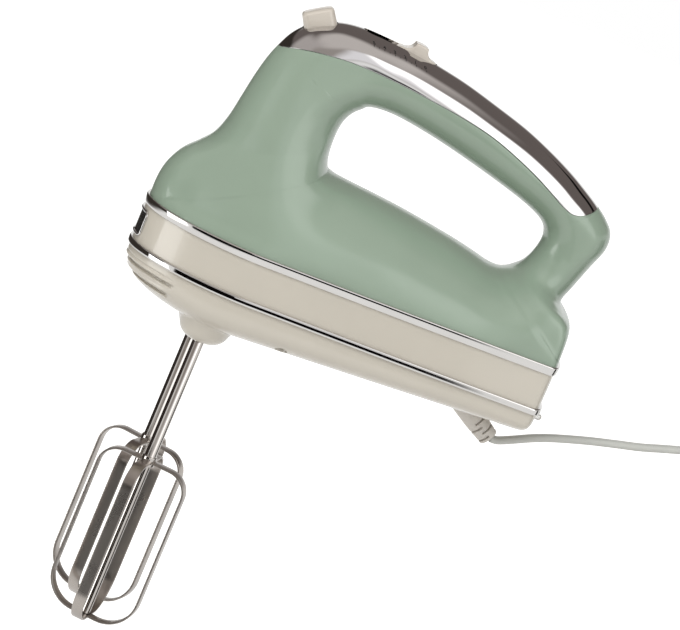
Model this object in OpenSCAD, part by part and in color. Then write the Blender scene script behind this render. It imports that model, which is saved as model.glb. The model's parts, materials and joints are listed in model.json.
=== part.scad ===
// Hand mixer with a closed handle, two counter-turning beaters and a worm drive.
// Origin: centre of the grip. -X is the nose, +X the heel, +Z up, beaters hang along -Z.

/* [Body] */
// Half width of the body at the waist
body_half_w = 39.6; // [38:0.2:42]
// Loss of half width from the middle of the body to the heel
body_taper = 2.4; // [0:0.2:4]
// Wall of the housing and the covers
wall = 2.2; // [1.8:0.1:2.6]
// Nose of the body, ahead of the grip centre
nose_x = -123.5; // [-126:0.5:-122]
// Heel of the body, behind the grip centre
heel_x = 77.4; // [76:0.2:80]
// Length of the tapering nose in plan
nose_len = 56; // [48:1:60]
// Rounding of the heel corners in plan
heel_round = 8; // [6:1:14]
// Top edge of the waist, where the housing ends
waist_z = -82.4; // [-84:0.2:-81]

/* [Trims and band] */
// Height of the upper trim
upper_trim_h = 4.3; // [3:0.1:5.5]
// Height of the lower trim
lower_trim_h = 3.2; // [2.4:0.1:4.5]
// Height of the band between the trims
band_h = 16.7; // [15:0.1:19]
// How far the trims stand proud of the band
trim_proud = 1.3; // [0.6:0.1:2]

/* [Bottom cover] */
// Depth of the bottom cover near the beaters
bottom_depth = 20; // [18:0.5:23]
// Depth that the bottom cover loses towards the heel
bottom_rise = 8; // [6:0.5:9.5]
// Radius of the beater boss
boss_r = 12.2; // [11.5:0.1:14]
// Depth of the beater boss below the trims
boss_depth = 27.9; // [26.4:0.1:30]

/* [Drive] */
// Depth of the motor shaft below the top edge of the waist
motor_drop = 1.6; // [1:0.1:2.2]
// Distance of the beater shafts from the grip centre, forwards
drive_x = 79; // [78:0.1:80]
// Distance between the two beater shafts
beater_pitch = 32; // [31.8:0.1:33]
// Outer radius of the worm
worm_r = 4.1; // [3.6:0.1:4.2]
// Teeth on each worm wheel
wheel_teeth = 36; // [24:4:48]
// Starts on the worm
worm_starts = 3; // [1:1:4]
// Thickness of the worm wheels
wheel_h = 9; // [7:0.5:10]
// Radius of the motor shaft
shaft_r = 2.5; // [2:0.1:3]
// Share of the body's half width that the stator fills
motor_share = 0.6313; // [0.6:0.005:0.64]
// Length of the armature and stator stacks
stack_len = 36; // [30:1:38]
// Radius of the cooling fan
fan_r = 20; // [16:0.5:22]

/* [Beaters] */
// Radius of the beater shafts
beater_r = 2.75; // [2.4:0.05:3]
// Width across the beater loops
head_w = 44.5; // [40:0.5:46]
// Height of the beater loops
head_h = 81; // [70:1:90]
// Width of the loop strips
strip_w = 5.5; // [4:0.1:6]
// Thickness of the loop strips
strip_t = 1.1; // [0.9:0.1:1.5]
// Lowest point of the beaters
beater_tip_z = -277; // [-285:1:-270]
// Depth of the beater shafts inside the spindles
beater_seat = 42; // [36:1:44]

/* [Controls] */
// Length of the eject button along the handle
button_l = 15.2; // [13:0.2:17]
// Width of the eject button
button_w = 10; // [9:0.5:17]
// Height of the eject button above its opening
button_h = 8; // [6:0.5:10]
// Forward lean of the eject button, in degrees
button_lean = 32; // [30:1:34]
// Length of the speed slider's base
slider_l = 21.6; // [18:0.2:23]
// Width of the speed slider
slider_w = 8.4; // [7:0.2:9]
// Height of the slider's thumb knob
slider_h = 6.2; // [4:0.2:8]
// Travel of the speed slider
slider_travel = 15; // [12:0.2:16]
// Gap round moving controls
gap = 0.35; // [0.3:0.05:0.5]

/* [Cord] */
// Width of the flat lead
cord_w = 5.4; // [5:0.1:6]
// Thickness of the flat lead
cord_t = 3.3; // [3:0.1:3.6]
// Outer radius of the hanging coil
coil_r = 38; // [34:1:42]

/* [Hidden] */
$fn = 48;

// ---- plan of the waist ----
nose_power = 1.7;
heel_power = 4;
function clamp01(v) = min(1, max(0, v));
function mix(a, b, k) = a + (b - a) * k;
function smooth(a, b, v) = let (k = clamp01((v - a) / (b - a))) k * k * (3 - 2 * k);
// fullness of an edge at distance d inside it: 0 on the edge, 1 beyond the rounding length r
function edge(d, r, p) = sqrt(max(0, 1 - pow(1 - clamp01(d / r), p)));
function side_w(x) = body_half_w - body_taper * pow(max(0, x + 20) / (heel_x + 20), 2);
function plan_w(x) = side_w(x) * edge(x - nose_x, nose_len, nose_power) * edge(heel_x - x, heel_round, heel_power);
plan_steps = 26;
// x along the waist, from the nose to the heel, closer together where the plan turns
function plan_x(k) = let (s = k / plan_steps)
    s < 0.5 ? nose_x + nose_len * pow(s / 0.5, 2)
  : s < 0.65 ? mix(nose_x + nose_len, heel_x - heel_round, (s - 0.5) / 0.15)
  : heel_x - heel_round * pow((1 - s) / 0.35, 2);
half_plan = [for (k = [0:plan_steps]) [plan_x(k), plan_w(plan_x(k))]];
plan_outline = concat(half_plan, [for (k = [plan_steps - 1:-1:1]) [half_plan[k].x, -half_plan[k].y]]);

// ---- housing: ribs from the edge of the handle opening to the outline ----
// each rib: opening x, z, outline x, z, half width at the opening, at the outline,
// rounding length at the opening, at the outline, share of level rounding, open at the waist
nose_rib = 0;
cover_first = 10;
cover_last = 25;
heel_rib = 34;
ribs = [
    [-53.0, -41.4, nose_x, waist_z, 30, 39.6, 26, 20, 1, 0],
    [-53.9, -39.4, nose_x + 0.2, -73.3, 29, 39.4, 25, 20, 1, 0],
    [-54.6, -37.2, nose_x + 1.9, -65.6, 28, 38.8, 25, 20, 1, 0],
    [-55.1, -34.8, -117.6, -58, 27, 37, 24, 20, 1, 0],
    [-55.4, -32.2, -111.7, -51.8, 26, 33.5, 24, 20, 1, 0],
    [-55.6, -29.4, -106.8, -45.6, 25, 29.5, 23, 20, 1, 0],
    [-55.6, -26.2, -103.8, -37, 23.5, 26, 23, 20, 1, 0],
    [-55.4, -22.6, -102, -26.5, 22, 22.5, 22, 20, 1, 0],
    [-54.7, -18.8, -100.2, -15.5, 20.5, 20.5, 21, 20, 0.8, 0],
    [-53.2, -15.3, -98, -5.5, 19.3, 19.3, 19, 20, 0.5, 0],
    [-51.2, -12.5, -95.2, 2.6, 18.6, 18.6, 18, 20, 0.25, 0],
    [-48.8, -10.3, -91.7, 9.8, 18, 18, 17, 19, 0.1, 0],
    [-47.3, -8.8, -86.6, 15.6, 17.6, 17.6, 16, 18, 0, 0],
    [-44.2, -8.0, -79.6, 19.6, 17.3, 17.3, 15.5, 17, 0, 0],
    [-40.4, -7.6, -71.6, 22.6, 17, 17, 15, 16.5, 0, 0],
    [-35.6, -7.6, -62, 23.8, 16.8, 16.8, 15, 16, 0, 0],
    [-29.6, -8.1, -50, 23.5, 16.6, 16.6, 14.5, 16, 0, 0],
    [-22.0, -9.2, -37, 22.5, 16.5, 16.5, 14.5, 15.5, 0, 0],
    [-12.4, -10.9, -23, 20.3, 16.3, 16.3, 14, 15, 0, 0],
    [-1.2, -13.3, -8, 17.4, 16.1, 16.1, 14, 15, 0, 0],
    [11, -16.2, 8.4, 13.1, 16, 16, 14, 14.5, 0, 0],
    [23.4, -19.4, 25.3, 8.2, 15.8, 15.8, 13.5, 14.5, 0, 0],
    [33.6, -22.3, 39.9, 2.6, 15.6, 15.6, 13, 14, 0, 0],
    [41, -24.9, 52, -2.9, 15.5, 15.5, 13, 13.5, 0, 0],
    [46.2, -27.4, 61.6, -8.1, 15.2, 15.2, 12.5, 13, 0, 0],
    [49.2, -30, 69.1, -12.6, 15, 15, 12, 12.5, 0, 0],
    [50.7, -32.8, 75.3, -17.1, 14.8, 14.6, 12, 12, 0, 0],
    [51.3, -35.8, 79.6, -22.2, 14.6, 14.3, 12, 12, 0, 0],
    [51.1, -38.9, 80.4, -29.6, 14.6, 14, 12, 12, 0, 0],
    [50.4, -42.2, 77, -40, 14.8, 14, 12, 12, 0, 0],
    [49.3, -45.7, 73.2, -51.6, 15.8, 15.4, 12, 12, 0, 0],
    [47.9, -48.9, 70.6, -59.0, 19, 18.5, 12.5, 11, 0, 0],
    [46.2, -51.6, 72.6, -62.2, 25, 27, 15, 9, 0.1, 0],
    [44.0, -53.8, heel_x - 0.7, -66.2, 31, 35, 19, 9, 0.6, 0],
    [41.3, -55.3, heel_x, waist_z, 34.5, 37.2, 24, 9, 1, 0],
    [38.6, -56.0, heel_x - 0.8, waist_z, 35, 37.2, 25, 9, 1, 1],
    [35.4, -56.0, heel_x - 4, waist_z, 36, 37.4, 25, 9, 1, 1],
    [31.6, -55.4, heel_x - 10, waist_z, 36.5, 38, 26, 9, 1, 1],
    [25, -53.8, 52, waist_z, 37, 38.5, 27, 9, 1, 1],
    [15, -51.7, 34, waist_z, 37, 39, 29, 9, 1, 1],
    [2, -49.5, 12, waist_z, 37, 39.3, 32, 9, 1, 1],
    [-12, -47.4, -12, waist_z, 37, 39.6, 33, 9, 1, 1],
    [-25, -45.9, -35, waist_z, 36.5, 39.6, 34, 9, 1, 1],
    [-35.6, -44.9, -56, waist_z, 36, 39.6, 34, 9, 1, 1],
    [-43, -44.2, -74, waist_z, 35, 39.6, 33, 9, 1, 1],
    [-47.6, -43.6, -90, waist_z, 34, 39.6, 31, 9, 1, 1],
    [-50.2, -42.9, -103, waist_z, 32.8, 39.6, 29, 9, 1, 1],
    [-51.6, -42.3, -113, waist_z, 31.8, 39.6, 27.5, 9, 1, 1],
    [-52.4, -41.9, -120, waist_z, 31, 39.6, 26.5, 9, 1, 1]
];
rib_count = len(ribs);
function spline(p0, p1, p2, p3, t) =
    0.5 * (2 * p1 + (p2 - p0) * t + (2 * p0 - 5 * p1 + 4 * p2 - p3) * t * t + (3 * p1 - p0 - 3 * p2 + p3) * t * t * t);
function is_corner(i) = i == nose_rib || i == heel_rib;
// a rib between the listed ones; the outline keeps its corners at the nose and the heel
function rib_at(u) = let (
    i = floor(u), t = u - i,
    a = (i - 1 + rib_count) % rib_count, b = i % rib_count, c = (i + 1) % rib_count, d = (i + 2) % rib_count,
    free = spline(ribs[a], ribs[b], ribs[c], ribs[d], t),
    before = is_corner(b) ? 2 * ribs[b] - ribs[c] : ribs[a],
    after = is_corner(c) ? 2 * ribs[c] - ribs[b] : ribs[d],
    held = spline(before, ribs[b], ribs[c], after, t))
    [free[0], free[1], held[2], held[3], free[4], held[5], free[6], held[7], clamp01(free[8]), clamp01(held[9])];
front_line = [for (k = [0:8 * 15]) let (r = rib_at(k / 8)) [r[3], r[2]]];
rear_line = [for (k = [8 * heel_rib:-1:8 * 31]) let (r = rib_at(k / 8)) [r[3], r[2]]];
function nose_round(z) = mix(nose_len, 22, smooth(-64, -36, z));
function nose_shape(z) = mix(nose_power, 2, smooth(-64, -36, z));
opening = [for (k = [0:2 * rib_count]) let (r = rib_at(k / 2)) [r[0], r[1]]];
function to_span(p, a, b) = norm(p - a - clamp01(((p - a) * (b - a)) / ((b - a) * (b - a))) * (b - a));
function from_opening(p) = min([for (k = [1:len(opening) - 1]) to_span(p, opening[k - 1], opening[k])]);
// point on the near side: u runs round the opening, t from the opening (0) to the outline (1)
function skin(u, t) = let (
    r = rib_at(u),
    v = mix((1 - cos(180 * t)) / 2, 1 - cos(90 * t), r[9]),
    x = mix(r[0], r[2], v), z = mix(r[1], r[3], v),
    len = norm([r[2] - r[0], r[3] - r[1]]),
    level = edge(x - lookup(z, front_line), nose_round(z), nose_shape(z))
          * (x > 40 ? edge(lookup(z, rear_line) - x, heel_round, heel_power) : 1),
    across = r[9] > 0 ? 1 : edge((1 - v) * len, r[7], 2),
    outer = r[8] >= 1 ? level : pow(level, r[8]) * pow(across, 1 - r[8]),
    w = mix(r[4], mix(r[5], side_w(x), r[9]), v))
    [x, -w * edge(from_opening([x, z]), r[6], 2) * outer, z];
function skin_normal(u, t) = let (
    e = 0.02, t0 = min(t, 1 - e),
    du = skin((u + e) % rib_count, t0) - skin((u - e + rib_count) % rib_count, t0),
    dt = skin(u, t0 + e) - skin(u, max(0, t0 - e)),
    n = cross(du, dt)) n / norm(n);
function flat_y(p) = [p.x, 0, p.z];
// direction out of the solid on the middle plane, at the opening or at the outline
function edge_normal(u, outline) = let (
    e = 0.02, k = outline ? 2 : 0, lo = outline ? max(0, u - e) : (u - e + rib_count) % rib_count,
    a = rib_at(lo), b = rib_at(outline ? min(heel_rib, u + e) : (u + e) % rib_count),
    d = [b[k] - a[k], b[k + 1] - a[k + 1]], s = outline ? 1 : -1) s * [-d.y, 0, d.x] / norm(d);
// same place on the inner face of the wall; the middle plane and the waist keep their planes
function lining(u, t, closed) = let (
    p = skin(u, t),
    n = t == 0 ? edge_normal(u, false) : closed && t == 1 ? edge_normal(u, true) : skin_normal(u, t),
    q = p - wall * n)
    [q.x, min(q.y, 0), max(q.z, waist_z)];
// height of the joint between the housing and the top cover
cover_joint = [[-95.2, 2.6], [-90, 5.2], [-84, 7.2], [-76, 8.8], [-66, 9.8], [-52, 9.6], [-38, 8.6], [-22, 6.8],
               [-6, 4.6], [10, 1.2], [24, -3.6], [36, -8.6], [46, -13.6], [52, -16.6], [57, -18], [63, -16.4], [69.1, -12.6]];
// t where a rib crosses that joint, found by halving; 1 where it never does
function above_joint(u, t) = let (p = skin(u, t)) p.z > lookup(p.x, cover_joint);
function joint_t(u, lo = 0, hi = 1, n = 14) =
    u <= cover_first || u >= cover_last ? 1
  : n == 0 ? (lo + hi) / 2
  : above_joint(u, (lo + hi) / 2) ? joint_t(u, lo, (lo + hi) / 2, n - 1) : joint_t(u, (lo + hi) / 2, hi, n - 1);

// ---- a shell from two grids of points, outer and inner; shut rows meet on the middle plane ----
function mirror_y(p) = [p.x, -p.y, p.z];
function three(a, b, c) = a == b || b == c || a == c ? [] : [[a, b, c]];
function four(a, b, c, d) = concat(three(a, b, c), three(a, c, d));
module shell(rows, cols, outer, inner, shut, ring, tips) {
    layer = rows * cols;
    function at(i, j, s) = let (k = i % rows)
        s * layer + k * cols + (tips && (k == 0 || k == rows - 1) ? 0 : shut[k] && j == cols - 1 ? 0 : j);
    spans = ring ? rows - 1 : rows - 2;
    faces = [for (i = [0:spans]) let (k = (i + 1) % rows) each concat(
        [for (j = [0:cols - 2]) each concat(
            four(at(i, j, 0), at(k, j, 0), at(k, j + 1, 0), at(i, j + 1, 0)),
            four(at(i, j, 1), at(i, j + 1, 1), at(k, j + 1, 1), at(k, j, 1)))],
        shut[i] && shut[k] ? [] : concat(
            four(at(i, 0, 0), at(i, 0, 1), at(k, 0, 1), at(k, 0, 0)),
            four(at(i, cols - 1, 0), at(k, cols - 1, 0), at(k, cols - 1, 1), at(i, cols - 1, 1))))];
    polyhedron(concat([for (r = outer) each r], [for (r = inner) each r]), faces, convexity = 8);
}
rib_steps = 2;
skin_cols = 7;
cover_cols = 5;
function both_sides(near) = concat(near, [for (k = [len(near) - 2:-1:0]) mirror_y(near[k])]);
module housing_shell() {
    rows = rib_count * rib_steps;
    us = [for (i = [0:rows - 1]) i / rib_steps];
    ends = [for (u = us) joint_t(u)];
    shut = [for (i = [0:rows - 1]) ends[i] == 1 && us[i] <= heel_rib];
    function row(i, inside) = both_sides([for (j = [skin_cols:-1:0]) let (t = ends[i] * j / skin_cols)
        inside ? lining(us[i], t, shut[i]) : skin(us[i], t)]);
    shell(rows, 2 * skin_cols + 1, [for (i = [0:rows - 1]) row(i, false)], [for (i = [0:rows - 1]) row(i, true)],
          shut, true, false);
}
module cover_shell() {
    us = [for (i = [cover_first * rib_steps:cover_last * rib_steps]) i / rib_steps];
    rows = len(us);
    starts = [for (u = us) joint_t(u)];
    shut = [for (i = [0:rows - 1]) i == 0 || i == rows - 1];
    function row(i, inside) = both_sides([for (j = [0:cover_cols]) let (t = mix(starts[i], 1, j / cover_cols))
        let (p = inside ? lining(us[i], t, t == 1) : skin(us[i], t)) t == 1 ? flat_y(p) : p]);
    mirror([0, 1, 0]) shell(rows, 2 * cover_cols + 1, [for (i = [0:rows - 1]) row(i, false)],
                            [for (i = [0:rows - 1]) row(i, true)], shut, false, true);
}

// ---- waist outline moved in or out ----
plan_count = len(plan_outline);
function plan_normal(k) = let (
    d = plan_outline[(k + 1) % plan_count] - plan_outline[(k - 1 + plan_count) % plan_count]) [-d.y, d.x] / norm(d);
function plan_moved(by) = [for (k = [0:plan_count - 1]) plan_outline[k] + by * plan_normal(k)];
module waist_ring(z, h, proud) {
    translate([0, 0, z]) linear_extrude(h) difference() {
        polygon(plan_moved(proud));
        polygon(plan_moved(-wall));
    }
}

// ---- heights down the body ----
band_z = waist_z - upper_trim_h - band_h;
cover_z = band_z - lower_trim_h;
motor_z = waist_z - motor_drop;
boss_z = cover_z - boss_depth;
trim_x = heel_x + trim_proud;
spindle_y = beater_pitch / 2;
spindle_r = beater_r + 2.05;
running = 0.06;
seat = 0.3;

// ---- housing and covers ----
housing_green = [0.59, 0.655, 0.58];
cream = [0.85, 0.82, 0.76];
chrome = [0.8, 0.8, 0.82];
steel = [0.62, 0.63, 0.65];
dark = [0.16, 0.16, 0.17];
case_post_x = [-45, 58];
case_post_y = [body_half_w - 6.6, body_half_w - 10.1];
case_post_r = 3.2;
case_screw_r = 1.5;
roof_z = waist_z + 13;
module each_case_post() {
    for (k = [0, 1], s = [-1, 1]) translate([case_post_x[k], s * case_post_y[k], 0]) children();
}
// screw boss with a web to the side wall, as deep as the two heights
module webbed_post(low, high, r, web) {
    hull($fn = 24) {
        translate([0, 0, low]) cylinder(r = r, h = high - low, $fn = 24);
        translate([web, 0, low]) cylinder(r = 1, h = high - low, $fn = 24);
    }
}
module upper_housing() {
    web_h = 8;
    color(housing_green) union() {
        housing_shell();
        for (k = [0, 1], s = [-1, 1]) difference() {
            translate([case_post_x[k], s * case_post_y[k], 0]) {
                for (w = [-1, 1]) webbed_post(waist_z, roof_z - k * 3, case_post_r, w * 4.5);
                translate([0, 0, waist_z]) hull() for (y = [0, side_w(case_post_x[k]) - case_post_y[k] - 2.4])
                    translate([0, s * y, 0]) cylinder(r = 1, h = web_h, $fn = 24);
            }
            translate([case_post_x[k], s * case_post_y[k], waist_z - 1])
                cylinder(r = case_screw_r + 0.1, h = 11, $fn = 24);
        }
    }
}
module upper_trim() { color(chrome) waist_ring(waist_z - upper_trim_h, upper_trim_h, trim_proud); }
module waist_band() { color(cream) waist_ring(band_z, band_h, 0); }
module lower_trim() { color(chrome) waist_ring(cover_z, lower_trim_h, trim_proud); }

// ---- bottom cover: rings of the waist outline drawn in as they go down ----
hull_turns = 7;
function hull_depth(x) = bottom_depth - bottom_rise * clamp01((x + 75) / (heel_x + 75));
function hull_power(x) = mix(mix(2.5, 3.6, smooth(nose_x, -70, x)), 4, smooth(30, heel_x, x));
function hull_mid(x) = min(heel_x - 14, max(nose_x + 40, x));
function hull_ring(outline, inset, turn) = [for (p = outline) let (
    m = hull_mid(p.x), n = hull_power(p.x), x = mix(m, p.x, pow(cos(turn), 2 / n)))
    [x, p.y * pow(cos(turn), 2 / n), cover_z - (hull_depth(p.x) - inset) * pow(sin(turn), 2 / n)]];
module hull_solid(inset) {
    outline = plan_moved(-inset);
    turns = [for (k = [0:hull_turns]) 84 * k / hull_turns];
    rings = [for (t = turns) hull_ring(outline, inset, t)];
    n = plan_count;
    last = hull_turns * n;
    half = n / 2;
    sides = [for (k = [0:hull_turns - 1], j = [0:n - 1]) let (i = (j + 1) % n)
        each [[k * n + j, (k + 1) * n + j, (k + 1) * n + i], [k * n + j, (k + 1) * n + i, k * n + i]]];
    function caps(base, flip) = [for (j = [0:half - 1]) let (a = j, b = j + 1, c = n - j - 1, d = (n - j) % n)
        each [for (f = concat(three(a, b, c), three(a, c, d))) flip ? [base + f[2], base + f[1], base + f[0]]
                                                                 : [base + f[0], base + f[1], base + f[2]]]];
    polyhedron([for (r = rings) each r], concat(sides, caps(0, false), caps(last, true)), convexity = 6);
}
boss_edge = 8;
module boss_bowl(shrink) {
    r = boss_r - shrink;
    e = boss_edge - shrink;
    depth = cover_z - 6 - boss_z - shrink;
    // outline of half a bowl with its lower corner rounded
    module bowl_side() {
        translate([0, boss_z + shrink + e]) square([r, depth - e]);
        translate([0, boss_z + shrink]) square([r - e, e + 0.01]);
        intersection() {
            translate([r - e, boss_z + shrink + e]) circle(r = e);
            translate([r - e, boss_z + shrink]) square([e, e]);
        }
    }
    for (s = [-1, 1]) translate([-drive_x, s * spindle_y, 0]) rotate_extrude() bowl_side();
    translate([-drive_x, spindle_y, 0]) rotate([90, 0, 0]) linear_extrude(beater_pitch) {
        bowl_side();
        mirror([1, 0]) bowl_side();
    }
}
frame_post_x = [-95, -63];
motor_half = motor_share * body_half_w;
frame_post_y = [14, motor_half - 1];
frame_floor_z = cover_z + 2.6;
frame_top_z = waist_z + 11.4;
plate_h = 3;
module each_frame_post() {
    for (k = [0, 1], s = [-1, 1]) translate([frame_post_x[k], s * frame_post_y[k], 0]) children();
}
bush_wall = 1.9;
boss_bore = spindle_r + bush_wall + seat;
boot_tip = [66.2, 0, cover_z - 26.6];
boot_slope = 32;
boot_len = 34;
boot_r = 5.4;
module along_boot() { translate(boot_tip) rotate([0, -90 + boot_slope, 0]) mirror([1, 0, 0]) children(); }
clamp_x = 34;
clamp_y = 8;
clamp_z = cover_z - 6.4;
lead_z = clamp_z - 1.7;
capacitor_x = 37;
capacitor_z = cover_z - 9.8;
bumper_y = 26;
bumper_r = 1.5;
bumper_z = cover_z - 2.6;
deep_z = cover_z - bottom_depth - 3.4;
module bottom_cover() {
    color(cream) difference() {
        union() {
            difference() {
                union() {
                    hull_solid(0);
                    boss_bowl(0);
                }
                translate([0, 0, 0.01]) hull_solid(wall);
            }
            each_frame_post() translate([0, 0, cover_z - 2]) cylinder(r = 3, h = frame_floor_z - cover_z + 2, $fn = 24);
            intersection() {
                hull_solid(0.5);
                union() {
                    for (k = [0, 1], s = [-1, 1]) {
                        translate([frame_post_x[k], s * frame_post_y[k], 0])
                            webbed_post(deep_z, cover_z, 3.2, 5);
                        translate([case_post_x[k], s * case_post_y[k], 0])
                            webbed_post(deep_z, cover_z - 0.1, case_post_r, -5);
                    }
                    for (s = [-1, 1]) translate([clamp_x, s * clamp_y, deep_z]) cylinder(r = 3, h = clamp_z - deep_z, $fn = 24);
                    translate([clamp_x - 4, -clamp_y, deep_z]) cube([3, 2 * clamp_y, clamp_z - cord_t - 0.2 - deep_z]);
                    for (x = [0, 8]) translate([capacitor_x + 3 + x, -23, deep_z]) cube([1.6, 10, capacitor_z - 0.1 - deep_z]);
                }
            }
        }
        for (s = [-1, 1]) translate([-drive_x, s * spindle_y, boss_z - 1])
            cylinder(r = boss_bore, h = 40);
        each_frame_post() translate([0, 0, frame_floor_z - 8]) cylinder(r = 1.3, h = 20, $fn = 24);
        each_case_post() {
            translate([0, 0, deep_z - 1]) cylinder(r = case_screw_r + 0.3, h = cover_z + 2 - deep_z, $fn = 24);
            translate([0, 0, deep_z - 1]) cylinder(r = 3.0, h = cover_z - 3 - deep_z, $fn = 24);
        }
        for (s = [-1, 1]) translate([clamp_x, s * clamp_y, clamp_z - 6]) cylinder(r = 1.1, h = 20, $fn = 24);
        along_boot() translate([0, 0, -1]) cylinder(r = boot_r + seat, h = boot_len + 1.5);
        for (s = [-1, 1]) translate([heel_x - 10, s * bumper_y, bumper_z]) rotate([0, 90, 0])
            cylinder(r = bumper_r + 0.1, h = 20);
    }
}

// ---- nose badge and rear bumpers ----
badge_h = 12.6;
badge_w = 22;
badge_t = 1.2;
module nose_badge() {
    round_r = 2.5;
    color(chrome) intersection() {
        translate([0, 0, band_z]) linear_extrude(band_h) difference() {
            polygon(plan_moved(badge_t));
            polygon(plan_moved(0));
        }
        translate([nose_x - 5, 0, band_z + band_h / 2]) rotate([90, 0, 90]) linear_extrude(20) union() {
            square([badge_w - 2 * round_r, badge_h], center = true);
            square([badge_w, badge_h - 2 * round_r], center = true);
            for (a = [-1, 1], b = [-1, 1])
                translate([a * (badge_w / 2 - round_r), b * (badge_h / 2 - round_r)]) circle(r = round_r);
        }
    }
}
module rear_bumpers() {
    color([0.9, 0.9, 0.88]) for (s = [-1, 1]) translate([heel_x - 4, s * bumper_y, bumper_z])
        rotate([0, 90, 0]) cylinder(r = bumper_r, h = trim_x + 0.6 - heel_x + 4);
}

// ---- eject button, its rod and spring ----
button_x = -81;
button_z = 17.6;
eject_travel = 5;
button_round = 3;
stem_z = 4.5;
rod_r = 3;
bar_z = -65.5;
bar_h = 4.5;
finger_r = beater_r - 0.35;
beater_top_z = boss_z + beater_seat;
rod_drop = eject_travel * cos(button_lean);
finger_z = beater_top_z + rod_drop + 0.5;
guide_z = -33;
collar_z = -14;
module along_button() { translate([button_x, 0, button_z]) rotate([0, -button_lean, 0]) children(); }
module rounded_rect(a, b, r) {
    square([a - 2 * r, b], center = true);
    square([a, b - 2 * r], center = true);
    for (i = [-1, 1], j = [-1, 1]) translate([i * (a / 2 - r), j * (b / 2 - r)]) circle(r = r);
}
module button_hole() {
    along_button() translate([0, 0, -12]) linear_extrude(30)
        rounded_rect(button_l + 2 * gap, button_w + 2 * gap, button_round + gap);
}
module eject_button() {
    color(cream) union() {
        along_button() {
            translate([0, 0, -6]) linear_extrude(6 + button_h) rounded_rect(button_l, button_w, button_round);
            translate([0, 0, -9]) linear_extrude(3.2) rounded_rect(button_l - 2, button_w - 0.4, button_round);
            translate([0, 0, -9]) linear_extrude(1.5) rounded_rect(button_l - 3, button_w + 3, 2);
            translate([0, 0, -13.4]) cylinder(r = 3.4, h = 8);
        }
        translate([-84, -4, stem_z]) cube([14, 8, 3]);
    }
}
module ejector_rod() {
    color([0.85, 0.85, 0.83]) union() {
        translate([-drive_x, 0, bar_z]) cylinder(r = rod_r, h = stem_z - seat - bar_z);
        translate([-drive_x, 0, collar_z]) cylinder(r = 6, h = 2);
        translate([-drive_x - 4, -spindle_y - 3, bar_z]) cube([8, beater_pitch + 6, bar_h]);
        for (s = [-1, 1]) translate([-drive_x, s * spindle_y, finger_z]) cylinder(r = finger_r, h = bar_z + 1 - finger_z);
    }
}
guide_side = [[-99.4, 4], [-98, 8], [-95.8, 12], [-92.8, 16], [-86.2, 19.6], [-71.6, 19.6], [-65, 16], [-61.8, 12],
              [-59.9, 8], [-59, 4]];
module rod_guide() {
    count = len(guide_side);
    color(dark) difference() {
        union() {
            translate([0, 0, guide_z]) linear_extrude(3)
                polygon(concat(guide_side, [for (k = [count - 1:-1:0]) [guide_side[k].x, -guide_side[k].y]]));
            translate([-drive_x, 0, guide_z]) cylinder(r = rod_r + 1.2, h = 6);
        }
        translate([-drive_x, 0, guide_z - 1]) cylinder(r = rod_r + 0.1, h = 9);
    }
}
// round wire wound on the Z axis: its level section is a lens bent along the turn
module coil_spring(r, wire, h, turns) {
    half = 180 * wire * turns / (h - wire);
    steps = 3;
    lens = [for (k = [-steps:steps]) [half * k / steps, wire / 2 * sqrt(1 - pow(k / steps, 2))]];
    outline = concat([for (p = lens) (r + p.y) * [cos(p.x), sin(p.x)]],
                     [for (k = [2 * steps - 1:-1:1]) let (p = lens[k]) (r - p.y) * [cos(p.x), sin(p.x)]]);
    linear_extrude(h, twist = -360 * turns, slices = ceil(8 * turns), $fn = 12) polygon(outline);
}
module eject_spring() {
    low = guide_z + 3;
    color(steel) translate([-drive_x, 0, low]) coil_spring(rod_r + 2.3, 1, collar_z - low, 4.5);
}

// ---- handle top cover, slider and switch ----
slot_back = -25.5;
slot_z = 19.8;
slider_tilt = 6.2;
slot_l = slider_l + slider_travel + 2 * gap;
module along_slot() { translate([slot_back, 0, slot_z]) rotate([0, slider_tilt, 0]) children(); }
module slot_shape(l, w) {
    translate([-l + w / 2, -w / 2]) square([l - w, w]);
    for (x = [-w / 2, -l + w / 2]) translate([x, 0]) circle(d = w);
}
module handle_top_cover() {
    color(chrome) difference() {
        cover_shell();
        button_hole();
        along_slot() translate([gap, 0, -10]) linear_extrude(20) slot_shape(slot_l, slider_w + 2 * gap);
    }
}
knob_flat = 6;
slider_base = 1.4;
slider_under = 4.3;
module slider_side() {
    mid = -slider_l / 2 + 1;
    rise = slider_h - slider_base;
    translate([-slider_l + 2, -slider_under]) square([slider_l - 4, slider_under + slider_base]);
    difference() {
        translate([mid - knob_flat / 2 - rise, slider_base - 0.01]) square([knob_flat + 2 * rise, rise]);
        for (s = [-1, 1]) translate([mid + s * (knob_flat / 2 + rise), slider_h]) circle(r = rise);
    }
}
module speed_slider() {
    color(cream) along_slot() union() {
        intersection() {
            translate([0, 0, -slider_under]) linear_extrude(20) slot_shape(slider_l, slider_w);
            rotate([90, 0, 0]) translate([0, 0, -slider_w]) linear_extrude(2 * slider_w) slider_side();
        }
        translate([0, 0, -slider_under]) linear_extrude(slider_under + slider_base) slot_shape(slider_l, slider_w);
        translate([-slider_l + 3, -5.4, -slider_under]) cube([slider_l - 6, 10.8, 1.2]);
        translate([-slider_l / 2 - 2, -1.5, -13]) cube([4, 3, 10]);
    }
}
switch_front = -60;
switch_l = 37;
switch_w = 12;
switch_low = -3.9;
switch_h = 14.5;
module speed_switch() {
    color(dark) difference() {
        translate([switch_front, -switch_w / 2, switch_low]) cube([switch_l, switch_w, switch_h]);
        translate([switch_front + 2, -2, switch_low + 4]) cube([switch_l - 4, 4, switch_h]);
    }
}

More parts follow.
